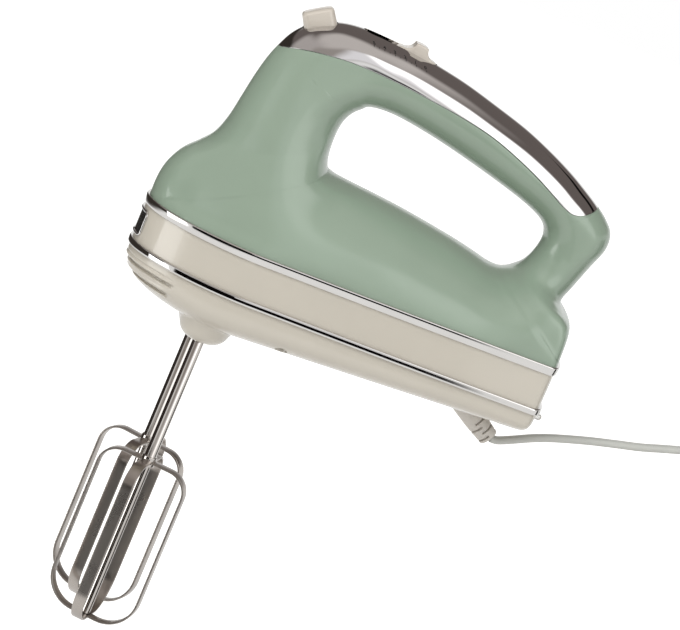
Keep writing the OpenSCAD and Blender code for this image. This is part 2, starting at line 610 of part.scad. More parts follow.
// ---- gear frame, bushes and motor ----
worm_gap = 0.3;
wheel_r = spindle_y - worm_r - worm_gap;
frame_front = -101;
frame_back = -56;
tie_y = motor_half;
frame_half = tie_y - 5;
tie_r = 4;
tie_hole_r = 1.7;
stack_x = -38;
bush_len = 4;
hub_r = 4.6;
module frame_plate(z) {
    translate([0, 0, z]) linear_extrude(plate_h)
        polygon([[frame_front, -frame_half], [frame_front, frame_half], [-88, frame_half + 9], [frame_back, frame_half + 10],
                 [frame_back, -frame_half - 10], [-88, -frame_half - 9]]);
}
module gear_frame() {
    height = frame_top_z - frame_floor_z;
    color([0.7, 0.71, 0.72]) difference() {
        union() {
            frame_plate(frame_floor_z);
            frame_plate(frame_top_z - plate_h);
            translate([frame_front, -frame_half, frame_floor_z]) cube([3, 2 * frame_half, height]);
            translate([frame_back - 3, -frame_half - 10, frame_floor_z]) cube([3, 2 * frame_half + 20, height]);
            for (s = [-1, 1]) translate([frame_back - 3, s * tie_y, motor_z]) rotate([0, 90, 0])
                cylinder(r = tie_r, h = stack_x - frame_back + 3);
            translate([frame_front, 0, motor_z]) rotate([0, 90, 0]) cylinder(r = 7.5, h = bush_len + 2);
        }
        for (s = [-1, 1]) {
            translate([-drive_x, s * spindle_y, frame_floor_z - 1]) cylinder(r = spindle_r + 0.4, h = plate_h + 2);
            translate([-drive_x, s * spindle_y, frame_top_z - plate_h - 1]) cylinder(r = spindle_r + bush_wall, h = plate_h + 2);
            translate([frame_back - 12, s * tie_y, motor_z]) rotate([0, 90, 0])
                cylinder(r = tie_hole_r, h = stack_x - frame_back + 20);
        }
        translate([frame_front - 1, 0, motor_z]) rotate([0, 90, 0]) cylinder(r = hub_r, h = bush_len + 5);
        translate([frame_back - 5, 0, motor_z]) rotate([0, 90, 0]) cylinder(r = 6, h = 8);
        each_frame_post() translate([0, 0, frame_floor_z - 1]) cylinder(r = 1.7, h = plate_h + 2, $fn = 24);
    }
}
module ring(outer, inner, h) {
    difference() {
        cylinder(r = outer, h = h);
        translate([0, 0, -1]) cylinder(r = inner, h = h + 2);
    }
}
module along_motor(x) { translate([x, 0, motor_z]) rotate([0, 90, 0]) children(); }
brass = [0.72, 0.58, 0.32];
module front_motor_bush() { color(brass) along_motor(frame_front) ring(hub_r, shaft_r + running, bush_len); }
bracket_x = 26;
bracket_t = 3;
module rear_motor_bush() { color(brass) along_motor(bracket_x) ring(hub_r, shaft_r + running, bush_len + 2); }
module upper_spindle_bushes() {
    color(brass) for (s = [-1, 1]) translate([-drive_x, s * spindle_y, frame_top_z - plate_h])
        ring(spindle_r + bush_wall, spindle_r + running, plate_h);
}
lower_bush_h = 8;
module lower_spindle_bushes() {
    color(brass) for (s = [-1, 1]) translate([-drive_x, s * spindle_y, boss_z + 3])
        ring(spindle_r + bush_wall, spindle_r + running, lower_bush_h);
}
stator_half = tie_y;
yoke = 0.16 * stator_half;
coil_h = yoke;
shoe_r = stator_half - 2.25 * yoke;
armature_r = 0.52 * stator_half;
pole_w = 0.56 * stator_half;
module stator_shape() {
    difference() {
        union() {
            rounded_rect(2 * stator_half, 2 * stator_half, 6);
            for (s = [-1, 1]) translate([0, s * tie_y]) circle(r = tie_r);
        }
        rounded_rect(2 * (stator_half - yoke), 2 * (stator_half - yoke), 3);
        for (s = [-1, 1]) translate([0, s * tie_y]) circle(r = tie_hole_r);
    }
    difference() {
        union() {
            circle(r = shoe_r);
            square([2 * stator_half - yoke, pole_w], center = true);
        }
        circle(r = armature_r + 0.5);
        for (s = [-1, 1]) polygon([[0, 0], stator_half * [-0.48, 0.8 * s], stator_half * [0.48, 0.8 * s]]);
    }
}
module motor_stator() { color([0.45, 0.46, 0.48]) along_motor(stack_x) linear_extrude(stack_len) stator_shape(); }
module field_coils() {
    inner_l = stack_len + 0.6;
    inner_w = pole_w + 0.6;
    color([0.65, 0.35, 0.18]) for (s = [-1, 1])
        translate([stack_x + stack_len / 2, 0, motor_z + s * (shoe_r + 0.5 + coil_h / 2) - coil_h / 2]) linear_extrude(coil_h) difference() {
            rounded_rect(inner_l + 11, inner_w + 11, 5);
            rounded_rect(inner_l, inner_w, 1);
        }
}
module motor_bracket() {
    reach = bracket_x + bracket_t - stack_x - stack_len;
    color([0.7, 0.71, 0.72]) difference() {
        union() {
            translate([bracket_x, -tie_y, motor_z - 6]) cube([bracket_t, 2 * tie_y, 12]);
            for (s = [-1, 1]) translate([stack_x + stack_len, s * tie_y, motor_z]) rotate([0, 90, 0])
                cylinder(r = tie_r, h = reach);
            along_motor(bracket_x) cylinder(r = 8, h = bush_len + 2);
        }
        along_motor(bracket_x - 1) cylinder(r = hub_r, h = bush_len + 5);
        for (s = [-1, 1]) translate([stack_x + stack_len - 1, s * tie_y, motor_z]) rotate([0, 90, 0])
            cylinder(r = tie_hole_r, h = reach + 2);
    }
}
module motor_screws() {
    color(steel) for (s = [-1, 1]) translate([frame_back - 3, s * tie_y, motor_z]) rotate([0, 90, 0]) {
        cylinder(r = 1.5, h = bracket_x + bracket_t - frame_back + 3);
        translate([0, 0, bracket_x + bracket_t - frame_back + 3]) cylinder(r = 3, h = 2.2);
    }
}
module screw_down(length, r) {
    translate([0, 0, -length]) cylinder(r = r, h = length, $fn = 24);
    cylinder(r = 1.9 * r, h = 1.5 * r, $fn = 24);
}
module frame_screws() {
    color(steel) each_frame_post() translate([0, 0, frame_floor_z + plate_h]) screw_down(8, 1.2);
}
module case_screws() {
    color(steel) each_case_post() translate([0, 0, cover_z - 4.1]) mirror([0, 0, 1]) screw_down(34, case_screw_r - 0.1);
}
holder_in = 8.5;
holder_out = tie_y - tie_r - seat;
holder_x = 12.5;
commutator_r = 7;
brush_l = 0.32 * stator_half;
spring_l = tie_y - tie_r - commutator_r - 2 * seat - brush_l - 1.2;
module brush_holders() {
    color(brass) for (s = [-1, 1]) difference() {
        translate([holder_x, s > 0 ? holder_in : -holder_out, motor_z - 3.5])
            cube([7, holder_out - holder_in, 7]);
        translate([holder_x + 0.8, s > 0 ? holder_in - 1 : 0.7 - holder_out, motor_z - 2.7])
            cube([5.4, holder_out + 0.3 - holder_in, 5.4]);
    }
}
module carbon_brushes() {
    color([0.2, 0.2, 0.2]) for (s = [-1, 1])
        translate([holder_x + 1, s > 0 ? commutator_r + seat : -commutator_r - seat - brush_l, motor_z - 2.5])
            cube([5, brush_l, 5]);
}
module brush_springs() {
    color(steel) for (s = [-1, 1]) translate([holder_x + 3.5, s * (commutator_r + seat + brush_l + 0.1), motor_z])
        rotate([-90 * s, 0, 0]) coil_spring(1.7, 0.6, spring_l, 3);
}

// ---- turning parts ----
shaft_front = frame_front + 0.5;
shaft_back = bracket_x + bush_len + 3;
module armature_shaft() { color(steel) along_motor(shaft_front) cylinder(r = shaft_r, h = shaft_back - shaft_front); }
module armature_core() {
    slots = 12;
    color([0.5, 0.5, 0.52]) along_motor(stack_x) linear_extrude(stack_len) difference() {
        circle(r = armature_r);
        circle(r = shaft_r);
        for (k = [0:slots - 1]) rotate(k * 360 / slots) translate([armature_r - 4.5, -0.9]) square([6, 1.8]);
    }
}
module armature_windings() {
    color([0.7, 0.38, 0.18]) {
        along_motor(stack_x - 6) ring(armature_r - 2, shaft_r, 6);
        along_motor(stack_x + stack_len) ring(armature_r - 2, shaft_r, 6);
    }
}
module commutator() { color([0.75, 0.45, 0.25]) along_motor(10) ring(commutator_r, shaft_r, 12); }
module cooling_fan() {
    blades = 9;
    color([0.9, 0.9, 0.88]) along_motor(-53) union() {
        ring(6, shaft_r, 7);
        ring(fan_r, shaft_r, 1.6);
        for (k = [0:blades - 1]) rotate([0, 0, k * 360 / blades]) translate([5.5, -0.6, 0]) cube([fan_r - 6, 1.2, 7]);
    }
}
worm_len = 20;
module worm() {
    lead = worm_starts * 2 * PI * wheel_r / wheel_teeth;
    color(steel) along_motor(-drive_x - worm_len / 2) difference() {
        linear_extrude(worm_len, twist = -360 * worm_len / lead, slices = 36, $fn = 12)
            polygon([for (k = [0:worm_starts * 4 - 1]) let (a = k * 90 / worm_starts)
                (worm_r - 0.45 + 0.45 * cos(a * worm_starts)) * [cos(a), sin(a)]]);
        translate([0, 0, -1]) cylinder(r = shaft_r, h = worm_len + 2, $fn = 24);
    }
}
spindle_top = frame_top_z + 0.5;
module spindle() {
    translate([0, 0, boss_z + 1.5]) ring(spindle_r, beater_r + running, spindle_top - boss_z - 1.5);
}
module spindle_left() { color(steel) translate([-drive_x, -spindle_y, 0]) spindle(); }
module spindle_right() { color(steel) translate([-drive_x, spindle_y, 0]) spindle(); }
module worm_wheel() {
    tooth = 1;
    translate([0, 0, motor_z - wheel_h / 2]) linear_extrude(wheel_h) difference() {
        polygon([for (k = [0:wheel_teeth * 4 - 1]) let (a = (k + 0.5) * 90 / wheel_teeth,
            r = k % 4 < 2 ? wheel_r : wheel_r - tooth) r * [cos(a), sin(a)]]);
        circle(r = spindle_r);
    }
}
module worm_wheel_left() { color([0.92, 0.9, 0.84]) translate([-drive_x, -spindle_y, 0]) worm_wheel(); }
module worm_wheel_right() { color([0.92, 0.9, 0.84]) translate([-drive_x, spindle_y, 0]) worm_wheel(); }

// ---- beaters ----
beater_phase = 19;
top_round = 10.5;
low_round = 16;
module beater_shaft() {
    low = beater_tip_z;
    head_z = low + head_h;
    translate([0, 0, low + strip_t]) cylinder(r = beater_r - 0.6, h = head_h - strip_t);
    translate([0, 0, head_z]) cylinder(r = beater_r, h = beater_top_z - 2 - head_z);
    translate([0, 0, beater_top_z - 2]) cylinder(r1 = beater_r, r2 = beater_r - 0.8, h = 2);
    translate([0, 0, head_z - 2.5]) cylinder(r = beater_r + 0.7, h = 4.5);
}
module loop_outline(inset) {
    w = head_w / 2 - inset;
    top = head_h - inset;
    rt = top_round - inset;
    rl = low_round - inset;
    translate([0, inset]) {
        translate([-w + rl, 0]) square([2 * (w - rl), rl + 1]);
        translate([-w, rl]) square([2 * w, top - inset - rl - rt]);
        translate([-w + rt, top - inset - rt - 1]) square([2 * (w - rt), rt + 1]);
        for (s = [-1, 1]) {
            translate([s * (w - rl), rl]) circle(r = rl);
            translate([s * (w - rt), top - inset - rt]) circle(r = rt);
        }
    }
}
module beater_loop() {
    rotate([90, 0, 0]) translate([0, 0, -strip_w / 2]) linear_extrude(strip_w) difference() {
        loop_outline(0);
        loop_outline(strip_t);
    }
}
module beater_loops() {
    difference() {
        translate([0, 0, beater_tip_z]) union() {
            beater_loop();
            rotate([0, 0, 90]) beater_loop();
        }
        translate([0, 0, beater_tip_z + head_h - 6]) cylinder(r = beater_r + 0.7, h = 10);
    }
}
module left_beater_place() { translate([-drive_x, -spindle_y, 0]) rotate([0, 0, -beater_phase]) children(); }
module right_beater_place() { translate([-drive_x, spindle_y, 0]) rotate([0, 0, beater_phase - 45]) children(); }
module beater_left_shaft() { color(steel) left_beater_place() beater_shaft(); }
module beater_left_loops() { color(steel) left_beater_place() beater_loops(); }
module beater_right_shaft() { color(steel) right_beater_place() beater_shaft(); }
module beater_right_loops() { color(steel) right_beater_place() beater_loops(); }

// ---- wiring inside the body ----
module suppression_capacitor() { color([0.75, 0.7, 0.3]) translate([capacitor_x, -22, capacitor_z]) cube([15, 8, 14]); }
// lead of an oval section swept along a route; side is the direction of its width
module swept(route, side, width, thickness) {
    corners = 8;
    n = len(route);
    function way(k) = let (d = route[min(n - 1, k + 1)] - route[max(0, k - 1)]) d / norm(d);
    points = [for (k = [0:n - 1]) let (up = cross(side, way(k))) each [for (j = [0:corners - 1])
        let (a = (j + 0.5) * 360 / corners, out = 0.5 / cos(180 / corners))
        route[k] + side * (out * width * cos(a)) + up * (out * thickness * sin(a))]];
    sides = [for (k = [0:n - 2], j = [0:corners - 1]) let (i = (j + 1) % corners)
        [k * corners + j, k * corners + i, (k + 1) * corners + i, (k + 1) * corners + j]];
    polyhedron(points, concat(sides,
        [[for (j = [corners - 1:-1:0]) j]], [[for (j = [0:corners - 1]) (n - 1) * corners + j]]));
}
wire_d = 1.8;
wire_path = [[29, 0, lead_z], [27.4, 0, lead_z], [25, 0, lead_z + 1.7], [24.6, 0, lead_z + 5.7],
             [28, 0.5, lead_z + 11.7], [42, 3, lead_z + 17.7], [52, 5, waist_z - 8.6], [58, 6, waist_z + 0.4],
             [60.5, 6, waist_z + 14.4], [62.5, 5, -52], [64, 4, -40], [62.5, 3, -31], [57, 2, -23],
             [44, 1, -15], [18, 1, -5], [-8, 1, 3], [-22.8, 0, 6]];
module switch_leads() {
    color([0.3, 0.3, 0.35]) for (s = [-1, 1])
        swept([for (p = wire_path) p + [0, 1.6 * s, 0]], [0, 1, 0], wire_d, wire_d);
}
module cord_clamp() {
    color(dark) difference() {
        translate([clamp_x - 4, -clamp_y - 3.5, clamp_z]) cube([8, 2 * clamp_y + 7, 3]);
        for (s = [-1, 1]) translate([clamp_x, s * clamp_y, clamp_z - 1]) cylinder(r = 1.4, h = 6, $fn = 24);
    }
}
module clamp_screws() {
    color(steel) for (s = [-1, 1]) translate([clamp_x, s * clamp_y, clamp_z + 3]) screw_down(7, 1);
}

// ---- lead ----
boot_grey = [0.66, 0.64, 0.61];
cord_grey = [0.69, 0.69, 0.67];
module cord_boot() {
    ribs = 4;
    rib_pitch = 3.2;
    color(boot_grey) along_boot() difference() {
        union() {
            cylinder(r = boot_r - 0.8, h = boot_len);
            translate([0, 0, ribs * rib_pitch]) cylinder(r = boot_r, h = boot_len - 6 - ribs * rib_pitch);
            for (k = [0:ribs - 1]) translate([0, 0, k * rib_pitch]) cylinder(r = boot_r - 0.4, h = rib_pitch - 1.1);
        }
        translate([0, 0, -1]) cylinder(r = cord_w / 2 + 0.1, h = boot_len + 2);
    }
}
coil_mid = [192, 0, lead_z - 123.3];
coil_section = 12;
coil_half = 7;
lead_drop_x = coil_mid.x + coil_r - 3.5;
// side view of the lead from the clamp: x and height over the clamped lead
lead_line = [[29, 0], [33, 0], [37.4, -0.9], [41.7, -3.2], [50, -8.4], [60, -14.7], [64.6, -17.5], [67, -18.5],
             [69.4, -18.5], [72, -17.7], [78, -14.9], [85, -11.5], [93, -8.3], [102, -5.4], [112, -2.5], [123, 0.3],
             [134, 3], [144, 6.1], [153, 8.8], [162, 11.1], [171, 12.6], [180, 12.8], [189, 11.4], [198, 8.1],
             [206.5, 2.8], [213.8, -4.3], [219.6, -13.1], [223.6, -23.3], [225.9, -34.8], [lead_drop_x, -47.3],
             [lead_drop_x, -61.3], [lead_drop_x, -75.3], [lead_drop_x, -89.3], [lead_drop_x, -112]];
cord_route = [for (p = lead_line) [p.x, 0, lead_z + p.y]];
module mains_cord() {
    color(cord_grey) difference() {
        swept(cord_route, [0, 1, 0], cord_w, cord_t);
        translate([coil_mid.x, 10, coil_mid.z]) rotate([90, 0, 0]) cylinder(r = coil_r - 0.95, h = 20, $fn = 72);
    }
}
module cord_coil() {
    color(cord_grey) translate(coil_mid) rotate([90, 0, 0]) rotate_extrude($fn = 72)
        translate([coil_r - 1 - coil_section, -coil_half]) square([coil_section, 2 * coil_half]);
}
plug_w = 35.3;
plug_t = 13.7;
plug_x = coil_mid.x + 9.5;
plug_top = coil_mid.z + 18;
plug_face = coil_mid.z - 20;
plug_y = coil_half + 0.3 + plug_t / 2;
tail_bend = 14;
// the tail lies on the coil, then bends over and down into the plug
tail_route = concat(
    [coil_mid + [-14, coil_half + 2.8, 28.2], coil_mid + [-9.5, coil_half + 3, 31]],
    [for (k = [0:6]) let (a = 90 - 15 * k) [plug_x - tail_bend + tail_bend * cos(a),
        mix(coil_half + 3.6, plug_y, smooth(0, 5, k)), plug_top + 1.5 + tail_bend * sin(a)]],
    [[plug_x, plug_y, plug_top]]);
module plug_lead() { color(cord_grey) swept(tail_route, [0, 1, 0], cord_w, cord_t); }
tie_turn = 35;
module cord_tie() {
    mid = coil_r - 1 - coil_section / 2;
    color([0.35, 0.35, 0.36]) translate(coil_mid) rotate([0, tie_turn, 0]) translate([-4, 0, mid])
        rotate([90, 0, 90]) linear_extrude(8) difference() {
            rounded_rect(2 * coil_half + 3.4, coil_section + 3.4, 2.5);
            rounded_rect(2 * coil_half + 0.4, coil_section + 0.9, 1);
        }
}
module plug_body() {
    color(cord_grey) hull() {
        translate([plug_x, plug_y, plug_face]) linear_extrude(16) rounded_rect(plug_w, plug_t, 5);
        translate([plug_x, plug_y, plug_top - 10]) linear_extrude(10) rounded_rect(16, 10, 4);
    }
}
module plug_pins() {
    color(brass) for (s = [-1, 1]) translate([plug_x + s * 9.25, plug_y, plug_face - 19]) cylinder(r = 2, h = 19);
}

upper_housing();
handle_top_cover();
upper_trim();
waist_band();
lower_trim();
bottom_cover();
nose_badge();
rear_bumpers();
eject_button();
ejector_rod();
rod_guide();
eject_spring();
speed_slider();
speed_switch();
gear_frame();
front_motor_bush();
rear_motor_bush();
upper_spindle_bushes();
lower_spindle_bushes();
motor_stator();
field_coils();
motor_bracket();
motor_screws();
frame_screws();
case_screws();
brush_holders();
carbon_brushes();
brush_springs();
armature_shaft();
armature_core();
armature_windings();
commutator();
cooling_fan();
worm();
spindle_left();
spindle_right();
worm_wheel_left();
worm_wheel_right();
beater_left_shaft();
beater_left_loops();
beater_right_shaft();
beater_right_loops();
suppression_capacitor();
switch_leads();
cord_clamp();
clamp_screws();
cord_boot();
mains_cord();
cord_coil();
cord_tie();
plug_lead();
plug_body();
plug_pins();
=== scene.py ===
"""Hand mixer with a closed handle, two beaters and a hanging lead.

Shapes are worked out in millimetres in the part's own frame, with the origin at the middle of the grip, -X the
nose, +X the heel and +Z up, and they go into the meshes in metres.
"""

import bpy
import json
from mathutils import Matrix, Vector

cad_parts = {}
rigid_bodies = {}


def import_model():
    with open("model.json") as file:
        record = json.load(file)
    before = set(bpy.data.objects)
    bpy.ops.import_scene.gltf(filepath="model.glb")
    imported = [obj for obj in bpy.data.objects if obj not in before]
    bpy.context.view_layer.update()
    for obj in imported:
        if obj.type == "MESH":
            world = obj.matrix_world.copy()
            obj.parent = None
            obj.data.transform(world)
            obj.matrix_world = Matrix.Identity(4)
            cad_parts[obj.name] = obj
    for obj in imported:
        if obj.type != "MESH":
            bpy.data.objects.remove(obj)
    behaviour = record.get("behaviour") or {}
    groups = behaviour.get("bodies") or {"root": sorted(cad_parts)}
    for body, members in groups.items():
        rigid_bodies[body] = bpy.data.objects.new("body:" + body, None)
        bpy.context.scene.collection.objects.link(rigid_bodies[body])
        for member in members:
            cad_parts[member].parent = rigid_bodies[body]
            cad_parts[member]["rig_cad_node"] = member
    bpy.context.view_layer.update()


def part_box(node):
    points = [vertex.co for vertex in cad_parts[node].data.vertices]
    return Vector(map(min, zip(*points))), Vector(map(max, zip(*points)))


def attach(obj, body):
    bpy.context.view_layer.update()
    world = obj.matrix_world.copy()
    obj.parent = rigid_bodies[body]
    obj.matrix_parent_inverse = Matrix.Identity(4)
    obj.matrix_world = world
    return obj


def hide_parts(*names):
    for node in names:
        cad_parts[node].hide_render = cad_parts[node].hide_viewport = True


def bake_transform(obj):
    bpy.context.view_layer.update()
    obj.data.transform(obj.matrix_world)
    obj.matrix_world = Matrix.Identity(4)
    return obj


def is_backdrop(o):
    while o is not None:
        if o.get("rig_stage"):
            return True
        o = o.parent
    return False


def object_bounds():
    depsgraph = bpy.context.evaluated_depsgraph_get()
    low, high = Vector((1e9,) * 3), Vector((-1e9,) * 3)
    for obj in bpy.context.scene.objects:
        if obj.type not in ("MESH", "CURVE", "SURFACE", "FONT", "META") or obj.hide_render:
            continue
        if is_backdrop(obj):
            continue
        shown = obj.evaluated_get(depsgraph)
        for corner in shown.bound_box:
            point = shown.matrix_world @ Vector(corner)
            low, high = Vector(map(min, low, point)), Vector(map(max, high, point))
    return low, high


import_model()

import json
import math

import bmesh
import bpy
import numpy as np
from bpy.props import FloatProperty, FloatVectorProperty, IntProperty, PointerProperty
from mathutils import Matrix, Vector

bl_info = {
    "name": "Retro hand mixer",
    "version": (1, 0, 0),
    "blender": (4, 5, 0),
    "location": "3D View > Sidebar > Mixer",
    "description": "Builds a retro hand mixer piece by piece round its packed frame",
    "category": "Add Mesh",
}


def box_mm(node):
    """Lowest and highest corner of a CAD node in millimetres."""
    return tuple(np.array(corner) * 1000 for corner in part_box(node))


# Ends of the body, and heights of the waist, the band, the cover's rim and the boss, from the CAD nodes.
NOSE_X, HEEL_X = box_mm("waist_band")[0][0], box_mm("waist_band")[1][0]
WAIST_Z = box_mm("upper_trim")[1][2]
BAND_TOP, BAND_Z = box_mm("waist_band")[1][2], box_mm("waist_band")[0][2]
COVER_Z = box_mm("lower_trim")[0][2]
BOSS_Z = box_mm("bottom_cover")[0][2]
# Half width of the body at the waist, how much less it is at the heel, and the thickness of the wall.
BODY_HALF_W, BODY_TAPER, WALL = 39.6, 2.4, 2.2
# Lengths over which the plan rounds off at the nose and at the heel, and the powers of the two superellipses.
NOSE_LEN, HEEL_ROUND, NOSE_POWER, HEEL_POWER = 56.0, 8.0, 1.7, 4.0
# The spindles' x and their distance from the middle plane; the boss round each and the rounding of its edge.
DRIVE_X, SPINDLE_Y, BOSS_R, BOSS_EDGE = -79.0, 16.0, 12.2, 8.0
# Depth of the bottom cover at the nose, and how much less it is at the heel.
BOTTOM_DEPTH, BOTTOM_RISE = 20.0, 8.0
# Ribs between which the top cover lies, and the rib at the heel's lower corner.
COVER_FIRST, COVER_LAST, HEEL_RIB = 10, 25, 34
# Turns a point into its mirror image across the middle plane.
FLIP = np.array([1, -1, 1])

# Ribs of the housing, from the edge of the handle opening to the outline: opening x and z, outline x and z,
# half width at the opening and at the outline, rounding length at the opening and at the outline,
# share of level rounding, open at the waist.
RIBS = np.array([
    [-53.0, -41.4, -123.5, -82.4, 30, 39.6, 26, 20, 1, 0],
    [-53.9, -39.4, -123.3, -73.3, 29, 39.4, 25, 20, 1, 0],
    [-54.6, -37.2, -121.6, -65.6, 28, 38.8, 25, 20, 1, 0],
    [-55.1, -34.8, -117.6, -58, 27, 37, 24, 20, 1, 0],
    [-55.4, -32.2, -111.7, -51.8, 26, 33.5, 24, 20, 1, 0],
    [-55.6, -29.4, -106.8, -45.6, 25, 29.5, 23, 20, 1, 0],
    [-55.6, -26.2, -103.8, -37, 23.5, 26, 23, 20, 1, 0],
    [-55.4, -22.6, -102, -26.5, 22, 22.5, 22, 20, 1, 0],
    [-54.7, -18.8, -100.2, -15.5, 20.5, 20.5, 21, 20, 0.8, 0],
    [-53.2, -15.3, -98, -5.5, 19.3, 19.3, 19, 20, 0.5, 0],
    [-51.2, -12.5, -95.2, 2.6, 18.6, 18.6, 18, 20, 0.25, 0],
    [-48.8, -10.3, -91.7, 9.8, 18, 18, 17, 19, 0.1, 0],
    [-47.3, -8.8, -86.6, 15.6, 17.6, 17.6, 16, 18, 0, 0],
    [-44.2, -8.0, -79.6, 19.6, 17.3, 17.3, 15.5, 17, 0, 0],
    [-40.4, -7.6, -71.6, 22.6, 17, 17, 15, 16.5, 0, 0],
    [-35.6, -7.6, -62, 23.8, 16.8, 16.8, 15, 16, 0, 0],
    [-29.6, -8.1, -50, 23.5, 16.6, 16.6, 14.5, 16, 0, 0],
    [-22.0, -9.2, -37, 22.5, 16.5, 16.5, 14.5, 15.5, 0, 0],
    [-12.4, -10.9, -23, 20.3, 16.3, 16.3, 14, 15, 0, 0],
    [-1.2, -13.3, -8, 17.4, 16.1, 16.1, 14, 15, 0, 0],
    [11, -16.2, 8.4, 13.1, 16, 16, 14, 14.5, 0, 0],
    [23.4, -19.4, 25.3, 8.2, 15.8, 15.8, 13.5, 14.5, 0, 0],
    [33.6, -22.3, 39.9, 2.6, 15.6, 15.6, 13, 14, 0, 0],
    [41, -24.9, 52, -2.9, 15.5, 15.5, 13, 13.5, 0, 0],
    [46.2, -27.4, 61.6, -8.1, 15.2, 15.2, 12.5, 13, 0, 0],
    [49.2, -30, 69.1, -12.6, 15, 15, 12, 12.5, 0, 0],
    [50.7, -32.8, 75.3, -17.1, 14.8, 14.6, 12, 12, 0, 0],
    [51.3, -35.8, 79.6, -22.2, 14.6, 14.3, 12, 12, 0, 0],
    [51.1, -38.9, 80.4, -29.6, 14.6, 14, 12, 12, 0, 0],
    [50.4, -42.2, 77, -40, 14.8, 14, 12, 12, 0, 0],
    [49.3, -45.7, 73.2, -51.6, 15.8, 15.4, 12, 12, 0, 0],
    [47.9, -48.9, 70.6, -59.0, 19, 18.5, 12.5, 11, 0, 0],
    [46.2, -51.6, 72.6, -62.2, 25, 27, 15, 9, 0.1, 0],
    [44.0, -53.8, 76.7, -66.2, 31, 35, 19, 9, 0.6, 0],
    [41.3, -55.3, 77.4, -82.4, 34.5, 37.2, 24, 9, 1, 0],
    [38.6, -56.0, 76.6, -82.4, 35, 37.2, 25, 9, 1, 1],
    [35.4, -56.0, 73.4, -82.4, 36, 37.4, 25, 9, 1, 1],
    [31.6, -55.4, 67.4, -82.4, 36.5, 38, 26, 9, 1, 1],
    [25, -53.8, 52, -82.4, 37, 38.5, 27, 9, 1, 1],
    [15, -51.7, 34, -82.4, 37, 39, 29, 9, 1, 1],
    [2, -49.5, 12, -82.4, 37, 39.3, 32, 9, 1, 1],
    [-12, -47.4, -12, -82.4, 37, 39.6, 33, 9, 1, 1],
    [-25, -45.9, -35, -82.4, 36.5, 39.6, 34, 9, 1, 1],
    [-35.6, -44.9, -56, -82.4, 36, 39.6, 34, 9, 1, 1],
    [-43, -44.2, -74, -82.4, 35, 39.6, 33, 9, 1, 1],
    [-47.6, -43.6, -90, -82.4, 34, 39.6, 31, 9, 1, 1],
    [-50.2, -42.9, -103, -82.4, 32.8, 39.6, 29, 9, 1, 1],
    [-51.6, -42.3, -113, -82.4, 31.8, 39.6, 27.5, 9, 1, 1],
    [-52.4, -41.9, -120, -82.4, 31, 39.6, 26.5, 9, 1, 1],
])

# Height of the joint between the housing and the top cover along the handle.
COVER_JOINT = np.array([
    [-95.2, 2.6], [-90, 5.2], [-84, 7.2], [-76, 8.8], [-66, 9.8], [-52, 9.6], [-38, 8.6], [-22, 6.8], [-6, 4.6],
    [10, 1.2], [24, -3.6], [36, -8.6], [46, -13.6], [52, -16.6], [57, -18], [63, -16.4], [69.1, -12.6],
])

# Side view of the lead outside its boot: x and z.
LEAD_ROUTE = np.array([
    [67, -133.2], [69.4, -133.2], [72, -132.4], [78, -129.6], [85, -126.2], [93, -123], [102, -120.1],
    [112, -117.2], [123, -114.4], [134, -111.7], [144, -108.6], [153, -105.9], [162, -103.6], [171, -102.1],
    [180, -101.9], [189, -103.3], [198, -106.6], [206.5, -111.9], [213.8, -119], [219.6, -127.8], [223.6, -138],
    [225.9, -149.5], [226.5, -162], [226.5, -176], [226.5, -190], [226.5, -204], [226.5, -218], [226.5, -230],
])
# Middle of the hanging coil.
COIL_MID = np.array([192.0, 0.0, -238.0])


# ---- numbers along curves ----
def mix(a, b, k):
    """a where k is 0, b where it is 1, and the straight line through them elsewhere."""
    return a + (b - a) * k


def smooth(a, b, v):
    """0 up to a, 1 from b, and an S curve between them."""
    k = np.clip((v - a) / (b - a), 0, 1)
    return k * k * (3 - 2 * k)


def edge(d, r, p):
    """Fullness at distance d inside an edge: 0 on it, 1 beyond the rounding length r, on a superellipse of power p."""
    return np.sqrt(np.maximum(0, 1 - (1 - np.clip(d / r, 0, 1)) ** p))


def soft_max(a, b, k):
    """The larger of a and b, blended over k where they are close."""
    h = np.clip(0.5 + 0.5 * (a - b) / k, 0, 1)
    return mix(b, a, h) + k * h * (1 - h)


def soft_lookup(x, table):
    """Height of a smooth curve through the table's points: Hermite pieces with the slopes of their neighbours."""
    xs, ys = table[:, 0], table[:, 1]
    slopes = np.gradient(ys, xs)
    x = np.clip(x, xs[0], xs[-1])
    i = np.clip(np.searchsorted(xs, x) - 1, 0, len(xs) - 2)
    h = xs[i + 1] - xs[i]
    t = (x - xs[i]) / h
    return (
        (2 * t**3 - 3 * t**2 + 1) * ys[i]
        + (t**3 - 2 * t**2 + t) * h * slopes[i]
        + (3 * t**2 - 2 * t**3) * ys[i + 1]
        + (t**3 - t**2) * h * slopes[i + 1]
    )


def unit(v):
    """Vectors along the last axis divided by their own lengths."""
    return v / np.maximum(np.linalg.norm(v, axis=-1, keepdims=True), 1e-12)


def run_along(points):
    """Distance of each point from the first, measured along the line through them all."""
    return np.concatenate([[0], np.cumsum(np.linalg.norm(np.diff(points, axis=0), axis=1))])


def at_runs(points, runs):
    """Points at the given distances along a line, straight between those that it lists."""
    along = run_along(points)
    return np.stack([np.interp(runs, along, column) for column in points.T], -1)


def spline(p0, p1, p2, p3, t):
    """Catmull-Rom curve from p1 to p2: the cubic whose slope at each end is half the step between its neighbours."""
    return 0.5 * (2 * p1 + (p2 - p0) * t + (2 * p0 - 5 * p1 + 4 * p2 - p3) * t**2 + (3 * p1 - p0 - 3 * p2 + p3) * t**3)


